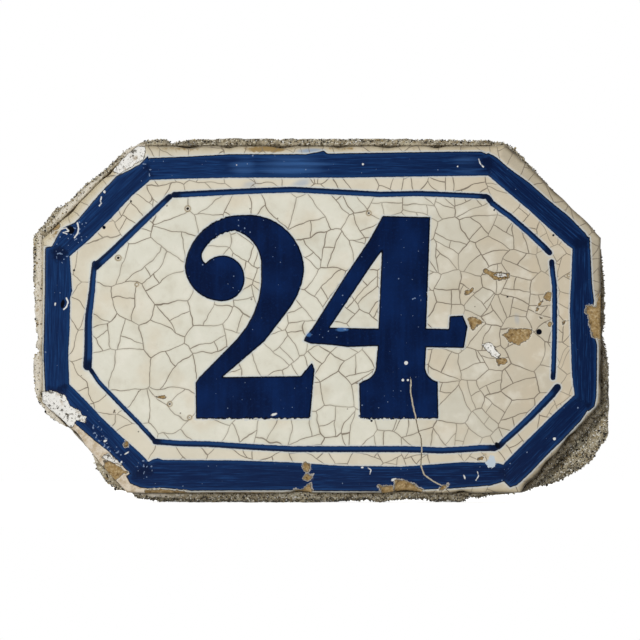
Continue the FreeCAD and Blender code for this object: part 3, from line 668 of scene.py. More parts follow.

    # Bare glaze, with painted shade towards the right, along the right-hand rim and in the pits, and painted
    # highlights on the pits' lips
    side = addNode(tree, "Math", {0: read["region"], 1: 40.0, 2: x}, operation="MULTIPLY_ADD")
    margin = addNode(tree, "Math", {0: read["mottle"], 1: -3.0, 2: read["rimInside"]}, operation="MULTIPLY_ADD")
    grimeAndShade = addNode(tree, "Math", {0: read["clod"], 1: -9.0, 2: read["rimInside"]}, operation="MULTIPLY_ADD")
    grimeAndShade = addNode(tree, "Math", {0: grimeAndShade, 1: 4.2}, operation="ADD")
    washed = addNode(tree, "Math", {0: read["patch"], 1: 0.5, 2: read["blueWash"]}, operation="MULTIPLY_ADD")
    stained = addNode(tree, "Math", {0: read["clod"], 1: 1.6, 2: read["brownStain"]}, operation="MULTIPLY_ADD")
    colour = layUp(tree, srgb(look["leftGlaze"]), [
        # darker towards the right: partly the glaze's warmer tint, partly painted shade
        (look["rightGlazeAndShade"], side, 22, 108, 1.0),
        (look["warmGlaze"], read["patch"], 0.5, 0.72, 0.5),
        (look["coolGlaze"], cellTone, 0.4, 1.0, 0.22),
        (look["brightGlazeAndGlint"], read["mottle"], 0.5, 0.3, 0.38),
        (look["dullGlaze"], read["mottle"], 0.5, 0.75, 0.35),
        (look["dullGlaze"], read["tooth"], 0.52, 0.8, 0.25),
        (look["dullGlaze"], edge, 1.0, 0.1, 0.25),
        (look["warmGlaze"], read["bandEdge"], 7.5, 4.5, 0.4),
        (look["grimeAndShade"], grimeAndShade, 0.8, -0.6, 0.45),
        (look["rimGlaze"], margin, 1.4, -1.2, 0.7),
        # painted shade on the rim, strongest on the right-hand side: a dull strip and a darker edge
        (look["rimPaintedShade"], margin, 3.4, 1.6, read["rimShade"]),
        (look["rimShadow"], margin, 0.2, -1.5, read["rimShade"]),
        (look["stain"], stained, 1.05, 1.6, 0.85),
        (look["wash"], washed, 0.35, 1.15, 0.8),
        (look["craze"], craze, 0.0, 1.0, 1.0),
        (look["speck"], pinhole, 0.0, 1.0, 0.7),
        # pits: a painted dark ring and painted shade in the hollow, with a painted highlight on the lip
        (look["grimeAndShade"], read["pitEdge"], 0.6, -0.1, 0.85),
        (look["brightGlazeAndGlint"], read["pitEdge"], -0.05, -0.25, 0.8),
        (look["shadeDark"], read["pitEdge"], -0.3, -0.5, 1.0),
        (look["halo"], paintEdge, 0.8, 0.1, 0.7),
    ])

    # Cobalt: dark where the brush pooled at an edge or two strokes cross, streaked and thin between, and darker
    # towards the right and the bottom of the band as painted shade
    watery = addNode(tree, "Math", {0: read["stroke"], 1: 0.7, 2: read["blueWash"]}, operation="MULTIPLY_ADD")
    nicks = addNode(tree, "Math", {0: read["nicked"], 1: 0.19, 2: read["nick"]}, operation="MULTIPLY_ADD")
    fleck = addNode(tree, "Math", {0: read["clod"], 1: 0.9, 2: read["blueWash"]}, operation="MULTIPLY_ADD")
    outer = addNode(tree, "MapRange", {0: read["rimInside"], 1: 8.0, 2: 5.0, 3: 0.4, 4: 0.95})
    band = layUp(tree, srgb(cobalt["band"]), [
        # painted shade: the band darker towards the right and the bottom
        (cobalt["bandDeepAndShade"], side, 20, 90, 0.9),
        (cobalt["bandDeepAndShade"], z, -35, -58, 0.6),
        (cobalt["bandLight"], read["bristle"], 0.48, 0.7, 0.7),
        (cobalt["bandDeepAndShade"], read["bristle"], 0.5, 0.36, 0.6),
        (cobalt["bandDeepAndShade"], read["stroke"], 0.5, 0.3, 0.6),
        (cobalt["bandLight"], read["bandEdge"], -1.6, -0.6, 0.35),
        (cobalt["watery"], watery, 0.55, 1.1, 0.8),
        (cobalt["bandDark"], read["bandOverlap"], 0.8, -1.6, 0.85),
        (cobalt["rim"], read["bandEdge"], -0.5, -0.2, outer),
        (cobalt["nick"], nicks, 0.81, 0.84, 0.8),
    ])
    line = layUp(tree, srgb(cobalt["lineDark"]), [
        (cobalt["line"], read["lineBody"], 0.0, 1.0, 1.0),
        (cobalt["lineDark"], across, -0.05, -0.45, 0.9),
        (cobalt["lineDark"], read["lineEdge"], -0.5, -0.2, 0.6),
        (cobalt["band"], read["bristle"], 0.5, 0.3, 0.5),
    ])
    figure = layUp(tree, srgb(cobalt["figure"]), [
        (cobalt["figureLight"], read["drag"], 0.42, 0.78, 0.35),
        (cobalt["figureLight"], read["patch"], 0.4, 0.7, 0.45),
        (cobalt["figureLight"], read["grit"], 0.5, 0.7, 0.35),
        (cobalt["rim"], read["figureEdge"], -0.75, -0.25, 0.95),
        (cobalt["watery"], fleck, 0.75, 1.15, 0.75),
        (cobalt["nick"], nicks, 0.8, 0.83, 0.8),
    ])

    inSlip = addNode(tree, "MapRange", {0: read["slipEdge"], 1: 0.3, 2: -0.5, 4: 0.5})
    bareStain = addNode(tree, "Math", {0: read["clod"], 1: inSlip}, operation="ADD")

    # Breaks: tan biscuit under a dark outline of painted shade, and rough white slip with dirt in it
    biscuit = layUp(tree, srgb(broken["biscuit"]), [
        (broken["biscuitLight"], read["grit"], 0.45, 0.68, 0.9),
        (broken["biscuitDark"], read["clod"], 0.52, 0.66, 0.85),
    ])
    slip = layUp(tree, srgb(broken["slip"]), [
        (broken["biscuit"], read["lump"], 0.58, 0.72, 0.6),
        (broken["slipDark"], read["clod"], 0.56, 0.62, 0.85),
        (broken["slipDark"], read["grit"], 0.57, 0.64, 0.95),
    ])
    colour = layUp(tree, colour, [
        (broken["slipBare"], read["slipEdge"], 0.3, -0.3, 0.92),
        (broken["slipStain"], bareStain, 0.9, 1.15, 0.7),
        (band, read["bandEdge"], 0.12, -0.12, 1.0),
        (line, read["lineEdge"], 0.12, -0.12, 1.0),
        (figure, read["figureEdge"], 0.12, -0.12, 1.0),
        # dark cobalt dots, two of them painted shadows beside blisters
        (cobalt["rim"], read["spotEdge"], 0.12, -0.12, 1.0),
        (broken["crackPale"], read["crackEdge"], 0.3, 0.16, 0.9),
        (broken["crackDark"], read["crackEdge"], 0.22, 0.05, bare),
        (broken["paleBlue"], read["paleEdge"], 0.1, -0.1, 1.0),
        # white specks and scratches, most of them painted highlights on blisters and pits
        (broken["glint"], read["markEdge"], 0.1, -0.1, 0.9),
        # a dark line of painted shade at the very edge of the rim, strongest on the right-hand side
        (look["shadeDark"], margin, -0.9, -1.7, read["rimShade"]),
        # round each break, the white ones too: a pale painted highlight on its lip and a dark outline of painted
        # shade on its wall
        (broken["pale"], read["chipEdge"], 0.45, 0.15, 0.6),
        (broken["outline"], read["chipEdge"], 0.12, -0.02, 0.75),
        (biscuit, read["chipEdge"], -0.1, -0.3, 1.0),
        (broken["outline"], read["whiteEdge"], 0.15, 0.0, 0.8),
        (slip, read["whiteEdge"], -0.1, -0.25, 1.0),
        (biscuit, read["wallDepth"], 0.2, 1.4, 1.0),
    ])

    # Relief in millimetres: orange peel, open cracks, and grit in the breaks
    inChip = addNode(tree, "MapRange", {0: read["chipEdge"], 1: 0.1, 2: -0.2})
    inWhite = addNode(tree, "MapRange", {0: read["whiteEdge"], 1: 0.1, 2: -0.2})
    inWall = addNode(tree, "MapRange", {0: read["wallDepth"], 1: 0.2, 2: 1.4})
    rough = addNode(tree, "Math", {0: inChip, 1: inWhite}, operation="MAXIMUM")
    rough = addNode(tree, "Math", {0: rough, 1: inWall}, operation="MAXIMUM")
    inPit = addNode(tree, "MapRange", {0: read["pitEdge"], 1: 0.1, 2: -0.6})
    inCrack = addNode(tree, "MapRange", {0: read["crackEdge"], 1: 0.35, 2: 0.0})
    gritHeight = addNode(tree, "Math", {0: read["grit"], 1: rough}, operation="MULTIPLY")
    height = addNode(tree, "Math", {0: read["peel"], 1: 0.05}, operation="MULTIPLY")
    for relief, depth in [(craze, -0.05), (inCrack, -0.2), (gritHeight, 0.6), (inPit, -0.3)]:
        height = addNode(tree, "Math", {0: relief, 1: depth, 2: height}, operation="MULTIPLY_ADD")
    bump = addNode(tree, "Bump", {"Height": height, "Distance": mm, "Strength": 0.8})
    gloss = addNode(tree, "Math", {0: rough, 1: 0.6, 2: look["roughness"]}, operation="MULTIPLY_ADD")
    shader = addNode(tree, "BsdfPrincipled", {
        "Base Color": colour, "Roughness": gloss, "Normal": bump, "IOR": 1.5, "Specular IOR Level": look["specular"],
    })
    addNode(tree, "OutputMaterial", {"Surface": shader})
    return material


print("tile")


def makeTile():
    bm = bmesh.new()
    size = tileHigh - tileLow
    step = tileShape["gridStep"] * mm
    columns = round(size.x / step)
    rows = round(size.z / step)
    bmesh.ops.create_grid(bm, x_segments=columns, y_segments=rows, size=0.5)
    middle = (tileHigh + tileLow) / 2
    spread = Matrix.Diagonal((size.x, size.z, 1.0, 1.0))
    upright = Matrix.Rotation(math.radians(90), 4, "X")
    centre = Matrix.Translation((middle.x, faceLevel, middle.z))
    bmesh.ops.transform(bm, matrix=centre @ upright @ spread, verts=bm.verts)
    for (across, up), (wide, tall) in tileShape["cornerCuts"].items():
        x = tileHigh.x if across > 0 else tileLow.x
        z = tileHigh.z if up > 0 else tileLow.z
        bmesh.ops.bisect_plane(
            bm, geom=bm.verts[:] + bm.edges[:] + bm.faces[:], plane_co=(x, faceLevel, z - up * tall * mm),
            plane_no=(across * tall, 0, up * wide), clear_outer=True,
        )
    bmesh.ops.remove_doubles(bm, verts=bm.verts, dist=0.2 * mm)

    # Halve the mesh along painted edges, chips and the rim
    face = readFace(placesOf(bm.verts))
    edges = ["bandEdge", "lineEdge", "figureEdge", "chipEdge", "whiteEdge", "markEdge", "spotEdge", "pitEdge",
             "rimInside"]
    closest = np.min([np.abs(face[name]) for name in edges], axis=0)
    closest = np.minimum(closest, np.maximum(face["crackEdge"] - 0.3, 0))
    near = closest < tileShape["fineReach"]
    inChip = (face["chipEdge"] < 0) | (face["whiteEdge"] < 0)
    near |= inChip
    bm.verts.index_update()
    chosen = [f for f in bm.faces if any(near[v.index] for v in f.verts)]
    split = {e for f in chosen for e in f.edges}
    bmesh.ops.subdivide_edges(bm, edges=list(split), cuts=1, use_grid_fill=True)
    face = readFace(placesOf(bm.verts))
    near = np.minimum(np.abs(face["markEdge"]), face["crackEdge"]) < tileShape["finestReach"]
    bm.verts.index_update()
    split = {e for e in bm.edges if all(near[v.index] for v in e.verts)}
    bmesh.ops.subdivide_edges(bm, edges=list(split), cuts=1, use_grid_fill=True)

    # The sides, stepped back from the rim, and a closed back
    depth = tileHigh.y - tileLow.y
    rim = [e for e in bm.edges if e.is_boundary]
    for _ in range(tileShape["wallSteps"]):
        made = bmesh.ops.extrude_edge_only(bm, edges=rim)["geom"]
        moved = [item for item in made if isinstance(item, bmesh.types.BMVert)]
        bmesh.ops.translate(bm, verts=moved, vec=(0, depth / tileShape["wallSteps"], 0))
        rim = [item for item in made if isinstance(item, bmesh.types.BMEdge)]
    bmesh.ops.holes_fill(bm, edges=rim, sides=0)
    bmesh.ops.recalc_face_normals(bm, faces=bm.faces)

    # Uneven rim, soft arris, waves of a hand-pressed face, chips and the paint's own thickness
    points = np.array([tuple(v.co) for v in bm.verts]) / mm
    places = points[:, [0, 2]]
    inside = -outlineDistance(places, tileCorners())
    outward = rimNormals(places)
    rimNoise = noiseAt(np.c_[places, np.zeros(len(places))], 9.0) * 0.6
    rimNoise += noiseAt(np.c_[places, np.zeros(len(places))], 3.0, 5.0) * 0.4
    inward = (rimNoise + 1) / 2 * tileShape["rimWobble"]
    for x, z, reach, bite in tileShape["rimBites"]:
        away = np.hypot(places[:, 0] - x, places[:, 1] - z)
        inward += bite * (1 - smoothStep(away, 0, reach * 1.4))
    fade = (1 - smoothStep(inside, 0, 5.0))
    places = places - outward * (inward * fade)[:, None]
    face = readFace(places)
    face["rimInside"] = inside
    onFace = points[:, 1] < faceLevel / mm + 0.01
    depthBack = points[:, 1] - faceLevel / mm
    # how strongly the rim's painted shade lies on each side: most on the right, none on the left
    face["rimShade"] = np.clip(0.22 + outward @ (0.7, 0.0), 0.0, 1.0)
    flat = np.c_[places, np.zeros(len(places))]
    level = (noiseAt(flat, 30.0) + 0.3) * tileShape["faceWave"]
    arris = tileShape["arris"]
    curve = np.clip(inside, 0, arris)
    level += arris - np.sqrt(np.maximum(arris ** 2 - (arris - curve) ** 2, 0))
    level = np.maximum(level, 0.0)
    chipDepth = 0.75 * smoothStep(-face["chipEdge"], -0.1, 0.7) + 0.7 * smoothStep(-face["whiteEdge"], -0.1, 0.8)
    chipDepth += 0.16 * noiseAt(flat, 1.5) * (chipDepth > 0.3)
    level += chipDepth + 0.3 * smoothStep(-face["pitEdge"], -0.1, 0.6)
    paintEdge = np.min([face["bandEdge"], face["lineEdge"], face["figureEdge"]], axis=0)
    level -= tileShape["paintRise"] * smoothStep(-paintEdge, -0.1, 0.35) * (chipDepth < 0.1) * (inside > arris)
    roughWall = noiseAt(points, 4.0) * 0.35 + noiseAt(points, 1.3) * 0.15 - 0.5
    hollow = smoothStep(depthBack, 0.0, 2.0) * (1 - smoothStep(depthBack, 10.5, 12.0))
    places = places + outward * (roughWall * hollow)[:, None]
    share = 1 - depthBack / (depth / mm)
    points[:, 0], points[:, 2] = places[:, 0], places[:, 1]
    points[:, 1] += level * share
    points *= mm
    for vert, point in zip(bm.verts, points):
        vert.co = point
    piece = newPiece("glazed_tile", bm, makeGlaze())
    for name, values in face.items():
        keepValues(piece.data, name, values, "FLOAT_VECTOR" if name == "strokeWay" else "FLOAT")
    keepValues(piece.data, "wallDepth", np.where(onFace, 0, depthBack))
    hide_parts("tile", "border_band", "inner_line", "digit_two", "digit_four")
    return piece


tile = makeTile()

print("mortar")

mortarShape = {
    "voxel": 0.8,
    "bite": 1.3,          # how deep the break is eaten into the block
    "lipDepths": (-15.4, -15.4, -5.0, -5.0),
    "lipReach": (1.5, -0.7, -0.7, 1.5),
    # how far the tile's painted shadow reaches on the mortar
    "tileShadowReach": 8.0,
    # Where crumbs of pale glaze and slip cover it: x, z, width, height, turn and strength
    "crumbs": [
        (-101.4, 2, 4.4, 27, 0, 1.0), (-102, -19, 6, 19, 0, 0.9), (-97.5, -35.5, 20, 6, -42, 1.0),
        (-101, 21, 2.6, 26, 0, 0.8), (-88, 42.4, 34, 3.4, 45, 0.65), (-67, 60, 10, 5, 20, 0.8),
        (-84.6, -46, 14, 4, -50, 0.8), (-60, -62.6, 22, 2.4, -5, 0.6), (20, 63, 30, 1, 0, 0.4),
    ],
    "keepFaces": 0.62,    # share of the faces left after the hidden seat is thinned
    "doublings": 13,      # 2 to this power is the number of sand grains
    "grainSize": (0.34, 0.85),
}
mortarLook = {
    "cement": "B6AA90", "cementDark": "5A4F38", "cementLight": "D4CBB0", "sandLight": "F0EBDC",
    "sandDark": "221C13", "sandTan": "A28E66", "lime": "F6F4EE", "soot": "1D1914",
    "mortarShade": "3A3022", "crumb": "F0E8D7", "crumbTan": "A98D62",
}

# How far the mortar stands out, clockwise from its left, as it broke off the wall
crustOutline = [
    (-103.6, 14.5), (-103.4, 22.9), (-102.2, 29), (-98.6, 34.4), (-95, 38.9), (-90.6, 41.4),
    (-86.6, 45.1), (-83.7, 48.4), (-78.6, 51.6), (-75.3, 54.2), (-72.7, 56.7), (-69.5, 60),
    (-65.5, 62.4), (-61.1, 63.7), (-55.6, 63.9), (-53.5, 62.6), (-50.5, 62.9), (-46.2, 63.5),
    (-40, 63.7), (-38.4, 63.1), (-36.2, 64.6), (-32.3, 65.5), (-28.7, 64.6), (-25.9, 63.9),
    (-19.6, 64.6), (-15.5, 63.5), (-11.6, 63.9), (-7, 63.5), (0.5, 64), (6.6, 64), (30.4, 64.2),
    (32.9, 63.3), (46.6, 63.6), (48.2, 63.3), (60.2, 63.3), (66, 62.5), (71, 58), (79.6, 49.1),
    (87.8, 40.5), (97, 32), (99.6, 27.3), (100.4, 14.1), (100.6, -0.2), (100.1, -6.6),
    (101.2, -13.6), (102.4, -18.3), (103.2, -24.5), (103.4, -30.9), (102.8, -38.6), (100.8, -43.9),
    (97.6, -48.8), (93.2, -52.4), (89.5, -55.4), (82.2, -58.3), (74.2, -60.1), (70.9, -62),
    (60.2, -62.5), (51.5, -63.2), (49.7, -65), (41.2, -65.2), (36.6, -63.7), (31.1, -63.4),
    (26.2, -63.8), (20.5, -64.6), (15.8, -63.8), (8.4, -64.1), (3, -65.5), (-22, -65.9),
    (-47, -65.4), (-53, -65.2), (-60.4, -63.9), (-64.8, -63.4), (-69.1, -61.5), (-73.1, -60),
    (-76.3, -57.8), (-79.2, -53.4), (-81.4, -49), (-83.4, -45.4), (-86.4, -41), (-89.3, -39.3),
    (-93.2, -37), (-97.5, -33.6), (-100.9, -28.5), (-102, -24.1), (-102.8, -19.1), (-102.3, -14.3),
    (-100.2, -10.7), (-101.4, -9.5), (-100.5, -6.6), (-101.2, -2.7), (-102, 2.8), (-102.3, 12.3),
]


def makeMortarMaterial():
    # Old sand and cement mortar, broken by hand: matt grey-brown with pale and nearly black sand in it
    material, tree = newMaterial("brokenCementMortar")
    objectPlace = addNode(tree, "TexCoord", out="Object")
    place = addNode(tree, "VectorMath", {0: objectPlace, 3: 1 / mm}, operation="SCALE")
    read = {}
    noises = [
        ("slab", 24.0, 3), ("bed", 6.0, 3), ("clod", 2.2, 4), ("sand", 0.8, 2), ("soot", 1.0, 2),
        ("grit", 0.8, 4),
    ]
    for name, size, detail in noises:
        inputs = {"Vector": place, "Scale": 1 / size, "Detail": detail, "Roughness": 0.62}
        read[name] = addNode(tree, "TexNoise", inputs)
    fromTile = addNode(tree, "Attribute", out="Fac", attribute_name="fromTile")
    fromJoint = addNode(tree, "Math", {0: read["bed"], 1: 3.0, 2: fromTile}, operation="MULTIPLY_ADD")
    tileShadow = addNode(tree, "Attribute", out="Fac", attribute_name="tileShadow")
    crumbs = addNode(tree, "Attribute", out="Fac", attribute_name="crumbs")
    crumbled = addNode(tree, "Math", {0: read["clod"], 1: 0.9, 2: crumbs}, operation="MULTIPLY_ADD")
    colour = layUp(tree, srgb(mortarLook["cement"]), [
        (mortarLook["cementDark"], read["slab"], 0.45, 0.75, 0.5),
        (mortarLook["cementLight"], read["bed"], 0.45, 0.7, 1.0),
        (mortarLook["cementDark"], read["clod"], 0.5, 0.66, 0.85),
        (mortarLook["sandLight"], read["sand"], 0.56, 0.64, 0.95),
        (mortarLook["sandDark"], read["soot"], 0.42, 0.35, 0.95),
        (mortarLook["crumb"], crumbled, 0.72, 0.98, 0.95),
        (mortarLook["crumbTan"], crumbled, 1.42, 1.56, 0.8),
        # painted shade along the tile's joint, and the tile's painted shadow on the lower right
        (mortarLook["mortarShade"], fromJoint, 1.6, 0.0, 0.75),
        (mortarLook["mortarShade"], tileShadow, 0.15, 0.9, 0.62),
    ])
    height = addNode(tree, "Math", {0: read["grit"], 1: 0.9}, operation="MULTIPLY")
    bump = addNode(tree, "Bump", {"Height": height, "Distance": mm, "Strength": 0.9})
    shader = addNode(tree, "BsdfPrincipled", {
        "Base Color": colour, "Roughness": 0.92, "Normal": bump, "IOR": 1.5, "Specular IOR Level": 0.25,
    })
    addNode(tree, "OutputMaterial", {"Surface": shader})
    return material


def makeSandMaterial():
    # Sharp quartz sand: each grain has its own tone, from soot to glassy white
    material, tree = newMaterial("sharpSand")
    tone = addNode(tree, "Attribute", out="Fac", attribute_name="grainTone")
    tileShadow = addNode(tree, "Attribute", out="Fac", attribute_name="tileShadow")
    fromTile = addNode(tree, "Attribute", out="Fac", attribute_name="fromTile")
    colour = layUp(tree, srgb(mortarLook["soot"]), [
        (mortarLook["sandDark"], tone, 0.05, 0.2, 1.0),
        (mortarLook["sandTan"], tone, 0.25, 0.45, 1.0),
        (mortarLook["cementLight"], tone, 0.45, 0.7, 1.0),
        (mortarLook["lime"], tone, 0.75, 0.95, 1.0),
        # painted shade near the tile's joint, and the tile's painted shadow on the lower right
        (mortarLook["mortarShade"], fromTile, 1.3, 0.3, 0.8),
        (mortarLook["mortarShade"], tileShadow, 0.15, 0.9, 0.6),
    ])
    shader = addNode(tree, "BsdfPrincipled", {
        "Base Color": colour, "Roughness": 0.5, "IOR": 1.5, "Specular IOR Level": 0.4,
    })
    addNode(tree, "OutputMaterial", {"Surface": shader})
    return material


def modify(piece, kind, **settings):
    # Runs one modifier and keeps its result
    modifier = piece.modifiers.new(kind.lower(), kind)
    for name, setting in settings.items():
        setattr(modifier, name, setting)
    graph = bpy.context.evaluated_depsgraph_get()
    mesh = bpy.data.meshes.new_from_object(piece.evaluated_get(graph))
    piece.modifiers.clear()
    old = piece.data
    piece.data = mesh
    bpy.data.meshes.remove(old)


def reachByAngle(outline, angles):
    # How far a closed outline round the middle reaches in each direction
    reach = np.zeros(len(angles))
    rays = np.stack([np.cos(angles), np.sin(angles)], axis=1)
    for start, end in zip(outline, np.roll(outline, -1, axis=0)):
        way = end - start
        cross = rays[:, 0] * way[1] - rays[:, 1] * way[0]
        cross = np.where(np.abs(cross) < 1e-9, 1e-9, cross)
        distance = (start[0] * way[1] - start[1] * way[0]) / cross
        share = (start[0] * rays[:, 1] - start[1] * rays[:, 0]) / cross
        met = (share >= -1e-6) & (share <= 1 + 1e-6) & (distance > 0)
        reach = np.where(met, np.maximum(reach, distance), reach)
    return reach


def keepShadeAndCrumbs(mesh, points):
    # Where the mortar is near the tile's joint, for painted shade there; where the tile's painted shadow falls
    # beside it on the lower right; and where crumbs of glaze cover it
    places = points[:, [0, 2]]
    away = np.maximum(outlineDistance(places, tileCorners()), points[:, 1] + 13)
    side = np.clip(rimNormals(places) @ (0.85, -0.55), 0.0, 1.0)
    keepValues(mesh, "fromTile", away)
    keepValues(mesh, "tileShadow", side * (1 - smoothStep(away, 0.0, mortarShape["tileShadowReach"])))
    keepValues(mesh, "crumbs", softMarks(places, mortarShape["crumbs"]) * (points[:, 1] < -8))


def makeMortar():
    bm = bmesh.new()
    bm.from_mesh(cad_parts["mortar_bed"].data)
    bmesh.ops.remove_doubles(bm, verts=bm.verts, dist=0.01 * mm)

    # A thin lip of mortar all round the tile: a grid rolled into a ring, which the remesh joins on
    crust = np.array(crustOutline)
    lip = bmesh.ops.create_grid(bm, x_segments=400, y_segments=4, size=1.0)["verts"]
    spots = np.array([(v.co.x, v.co.y) for v in lip])
    angles = spots[:, 0] * math.pi
    corner = np.rint((spots[:, 1] + 1) * 2).astype(int) % 4
    depth = np.array(mortarShape["lipDepths"])[corner]
    grow = np.array(mortarShape["lipReach"])[corner]
    reach = reachByAngle(tileCorners(), angles) + grow
    reach = np.where(grow > 0, np.minimum(reach, reachByAngle(crust, angles) + 0.3), reach)
    ring = np.stack([reach * np.cos(angles), depth, reach * np.sin(angles)], axis=1) * mm
    for vert, point in zip(lip, ring):
        vert.co = point
    bmesh.ops.remove_doubles(bm, verts=lip, dist=0.001 * mm)
    bmesh.ops.recalc_face_normals(bm, faces=bm.faces)
    piece = newPiece("mortar_crust", bm, makeMortarMaterial())
    modify(piece, "REMESH", mode="VOXEL", voxel_size=mortarShape["voxel"] * mm)
    mesh = piece.data
    count = len(mesh.vertices)
    points = np.zeros(count * 3, np.float32)
    mesh.vertices.foreach_get("co", points)
    points = points.reshape(-1, 3).astype(float) / mm
    normals = np.array([tuple(v.normal) for v in mesh.vertices])
    inside = -outlineDistance(points[:, [0, 2]], tileCorners())
    low, high = cadBox

    # Fit the broken outline, direction by direction, outside the tile
    angles = np.arctan2(points[:, 2], points[:, 0])
    radius = np.hypot(points[:, 0], points[:, 2])
    slots = ((angles + math.pi) / (2 * math.pi) * 720).astype(int) % 720
    own = np.zeros(720)
    np.maximum.at(own, slots, radius)
    own = np.maximum(own, 1.0)
    stretch = (reachByAngle(crust, angles) + 0.5) / own[slots]
    outside = smoothStep(-inside, 0.0, 1.2)
    ratio = 1 + (stretch - 1) * outside
    points[:, 0] *= ratio
    points[:, 2] *= ratio

    points = np.clip(points, np.array(low) / mm + 0.4, np.array(high) / mm - 0.4)
    rough = noiseAt(points, 4.6) * 0.5 + noiseAt(points, 1.9, 3.0) * 0.4 + noiseAt(points, 0.9, 8.0) * 0.3
    seat = smoothStep(inside, -1.4, 0.3)
    move = (rough + 0.1) * mortarShape["bite"] * (1 - seat)
    flatBack = smoothStep(normals[:, 1], 0.5, 0.9)
    points += normals * (move * (1 - flatBack * 0.85))[:, None]
    points = np.clip(points, np.array(low) / mm, np.array(high) / mm)
    mesh.vertices.foreach_set("co", (points * mm).astype(np.float32).ravel())
    hidden = piece.vertex_groups.new(name="hidden")
    for index in np.flatnonzero((inside > 2.5) & (points[:, 1] < -1)):
        hidden.add([int(index)], 1.0, "REPLACE")
    modify(piece, "DECIMATE", ratio=mortarShape["keepFaces"], vertex_group="hidden", vertex_group_factor=10.0)
    piece.data.polygons.foreach_set("use_smooth", [True] * len(piece.data.polygons))
    piece.vertex_groups.clear()
    keepShadeAndCrumbs(piece.data, np.array([tuple(v.co) for v in piece.data.vertices]) / mm)
    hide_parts("mortar_bed")
    return piece


mortar = makeMortar()


def makeSand():
    # Sand that stands out of the broken mortar, most of it on the side that faces out
    draw = np.random.default_rng(seed)
    mesh = mortar.data
    centres = np.array([tuple(p.center) for p in mesh.polygons]) / mm
    normals = np.array([tuple(p.normal) for p in mesh.polygons])
    areas = np.array([p.area for p in mesh.polygons])
    inside = -outlineDistance(centres[:, [0, 2]], tileCorners())
    chance = areas * (inside < 0.3) * np.where(normals[:, 1] < -0.25, 6.0, np.where(normals[:, 1] < 0.5, 1.0, 0.25))
    chance *= 0.15 + 0.85 * smoothStep(-inside, 0.2, 1.5)
    chance *= 1 - 0.8 * softMarks(centres[:, [0, 2]], mortarShape["crumbs"]) * (centres[:, 1] < -8)
    count = 2 ** mortarShape["doublings"]
    chosen = draw.choice(len(centres), count, p=chance / chance.sum())
    sizes = draw.uniform(*mortarShape["grainSize"], count) * np.where(draw.random(count) < 0.04, 1.6, 1.0)
    middles = centres[chosen] + normals[chosen] * (sizes * 0.12)[:, None] + draw.uniform(-0.4, 0.4, (count, 3))
    low, high = np.array(cadBox[0]) / mm, np.array(cadBox[1]) / mm
    middles = np.clip(middles, low + sizes[:, None] * 0.6, high - sizes[:, None] * 0.6)

    bm = bmesh.new()
    bmesh.ops.create_icosphere(bm, subdivisions=1, radius=0.5)
    corners = np.array([tuple(v.co) for v in bm.verts])
    for _ in range(mortarShape["doublings"]):
        bmesh.ops.duplicate(bm, geom=bm.verts[:] + bm.edges[:] + bm.faces[:])
    piece = newPiece("sand_grains", bm, makeSandMaterial())
    turns = np.linalg.qr(draw.normal(size=(count, 3, 3)))[0]
    shapes = corners[None] * draw.uniform(0.6, 1.0, (count, 1, 3)) * sizes[:, None, None]
    grains = np.einsum("nij,nkj->nki", turns, shapes) + middles[:, None]
    piece.data.vertices.foreach_set("co", (grains * mm).astype(np.float32).ravel())
    keepShadeAndCrumbs(piece.data, np.repeat(middles, len(corners), axis=0))
    keepValues(piece.data, "grainTone", np.repeat(draw.random(count), len(corners)))
    piece.data.polygons.foreach_set("use_smooth", [False] * len(piece.data.polygons))
    piece.data.update()
    return piece


sand = makeSand()

print("stage")

stageLook = {
    "frameWidth": 228.57, "frameCentre": (-0.54, -0.18), "cameraAway": 2500.0, "sensor": 36.0,
    "keyPlace": (-880, -2250, 420), "keySize": 600, "keyPower": 26.0,
    "fill": "BABABA", "frontGloss": "202020", "floorReach": 300, "floorColour": "EDEDEB", "floorGlow": 0.8,
}


def makeCamera():
    lens = stageLook["sensor"] * stageLook["cameraAway"] / stageLook["frameWidth"]
    data = bpy.data.cameras.new("studioCamera")
    data.sensor_width = stageLook["sensor"]
    data.lens = lens
    data.clip_end = 50
    camera = bpy.data.objects.new("studioCamera", data)
    x, z = stageLook["frameCentre"]
    camera.location = (x * mm, faceLevel - stageLook["cameraAway"] * mm, z * mm)
    camera.rotation_euler = (math.radians(90), 0, 0)
    bpy.context.scene.collection.objects.link(camera)
    bpy.context.scene.camera = camera


def makeLamp():
    data = bpy.data.lights.new("softbox", "AREA")
    data.shape = "SQUARE"
    data.size = stageLook["keySize"] * mm
    data.energy = stageLook["keyPower"]
    lamp = bpy.data.objects.new("softbox", data)
    lamp.location = Vector(stageLook["keyPlace"]) * mm
    lamp.rotation_euler = (-lamp.location).to_track_quat("-Z", "Y").to_euler()
    bpy.context.scene.collection.objects.link(lamp)


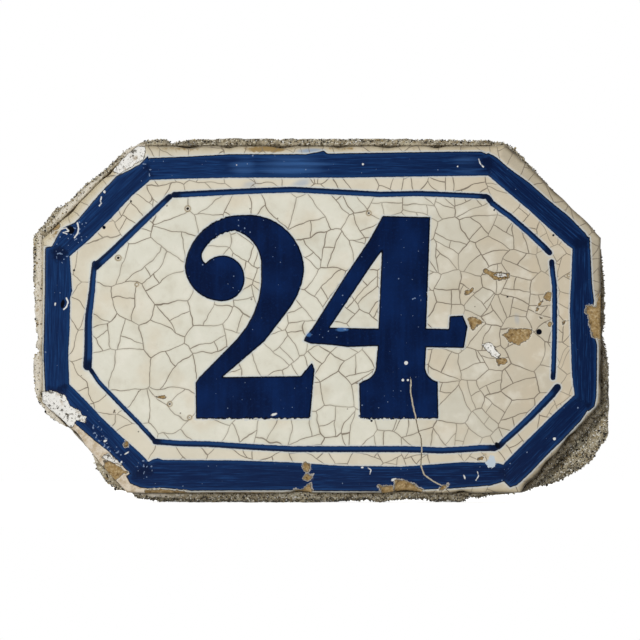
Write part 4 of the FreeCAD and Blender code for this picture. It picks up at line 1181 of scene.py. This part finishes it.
def makeWorld():
    # White to the camera all round. What the glaze mirrors is white behind the plaque and a dim
    # room before it, and the rest is soft light from all sides.
    world = bpy.data.worlds.new("paleStudio")
    bpy.context.scene.world = world
    world.use_nodes = True
    tree = world.node_tree
    tree.nodes.clear()
    rays = tree.nodes.new("ShaderNodeLightPath").outputs
    direction = addNode(tree, "SeparateXYZ", {0: addNode(tree, "TexCoord", out="Generated")}, out=1)
    mirrored = addNode(tree, "Math", {0: rays["Is Glossy Ray"], 1: rays["Is Transmission Ray"]}, operation="MAXIMUM")
    behind = addNode(tree, "MapRange", {0: direction, 1: -0.25, 2: 0.15})
    mirroredWhite = addNode(tree, "Math", {0: mirrored, 1: behind}, operation="MULTIPLY")
    white = addNode(tree, "Math", {0: rays["Is Camera Ray"], 1: mirroredWhite}, operation="MAXIMUM")
    colour = layUp(tree, srgb(stageLook["fill"]), [
        (stageLook["frontGloss"], mirrored, 0.0, 1.0, 1.0),
        ("FFFFFF", white, 0.0, 1.0, 1.0),
    ])
    shader = addNode(tree, "Background", {"Color": colour, "Strength": 1.0})
    addNode(tree, "OutputWorld", {"Surface": shader})


def makeFloor():
    # A pale sheet that the plaque stands on: white to the camera, with the plaque's shadow kept
    material, tree = newMaterial("whiteStudioSheet")
    rays = tree.nodes.new("ShaderNodeLightPath").outputs
    seen = addNode(tree, "Math", {0: rays["Is Camera Ray"], 1: rays["Is Glossy Ray"]}, operation="MAXIMUM")
    seen = addNode(tree, "Math", {0: seen, 1: rays["Is Transmission Ray"]}, operation="MAXIMUM")
    glow = addNode(tree, "Math", {0: seen, 1: stageLook["floorGlow"]}, operation="MULTIPLY")
    shader = addNode(tree, "BsdfPrincipled", {
        "Base Color": srgb(stageLook["floorColour"]), "Roughness": 0.9, "Specular IOR Level": 0.1,
        "Emission Color": (1, 1, 1, 1), "Emission Strength": glow,
    })
    addNode(tree, "OutputMaterial", {"Surface": shader})
    bm = bmesh.new()
    bmesh.ops.create_grid(bm, x_segments=1, y_segments=1, size=1.0)
    reach = stageLook["floorReach"] * mm
    bmesh.ops.transform(bm, matrix=Matrix.Diagonal((2.0, reach, 1, 1)), verts=bm.verts)
    bmesh.ops.translate(bm, verts=bm.verts, vec=(0, 0, cadBox[0].z))
    mesh = bpy.data.meshes.new("floor")
    bm.to_mesh(mesh)
    bm.free()
    floor = bpy.data.objects.new("floor", mesh)
    mesh.materials.append(material)
    bpy.context.scene.collection.objects.link(floor)


makeCamera()
makeLamp()
makeWorld()
makeFloor()
bpy.context.scene.view_settings.view_transform = "Standard"

for piece in (tile, mortar, sand):
    piece.data.calc_loop_triangles()
    print(piece.name, len(piece.data.loop_triangles), "triangles")
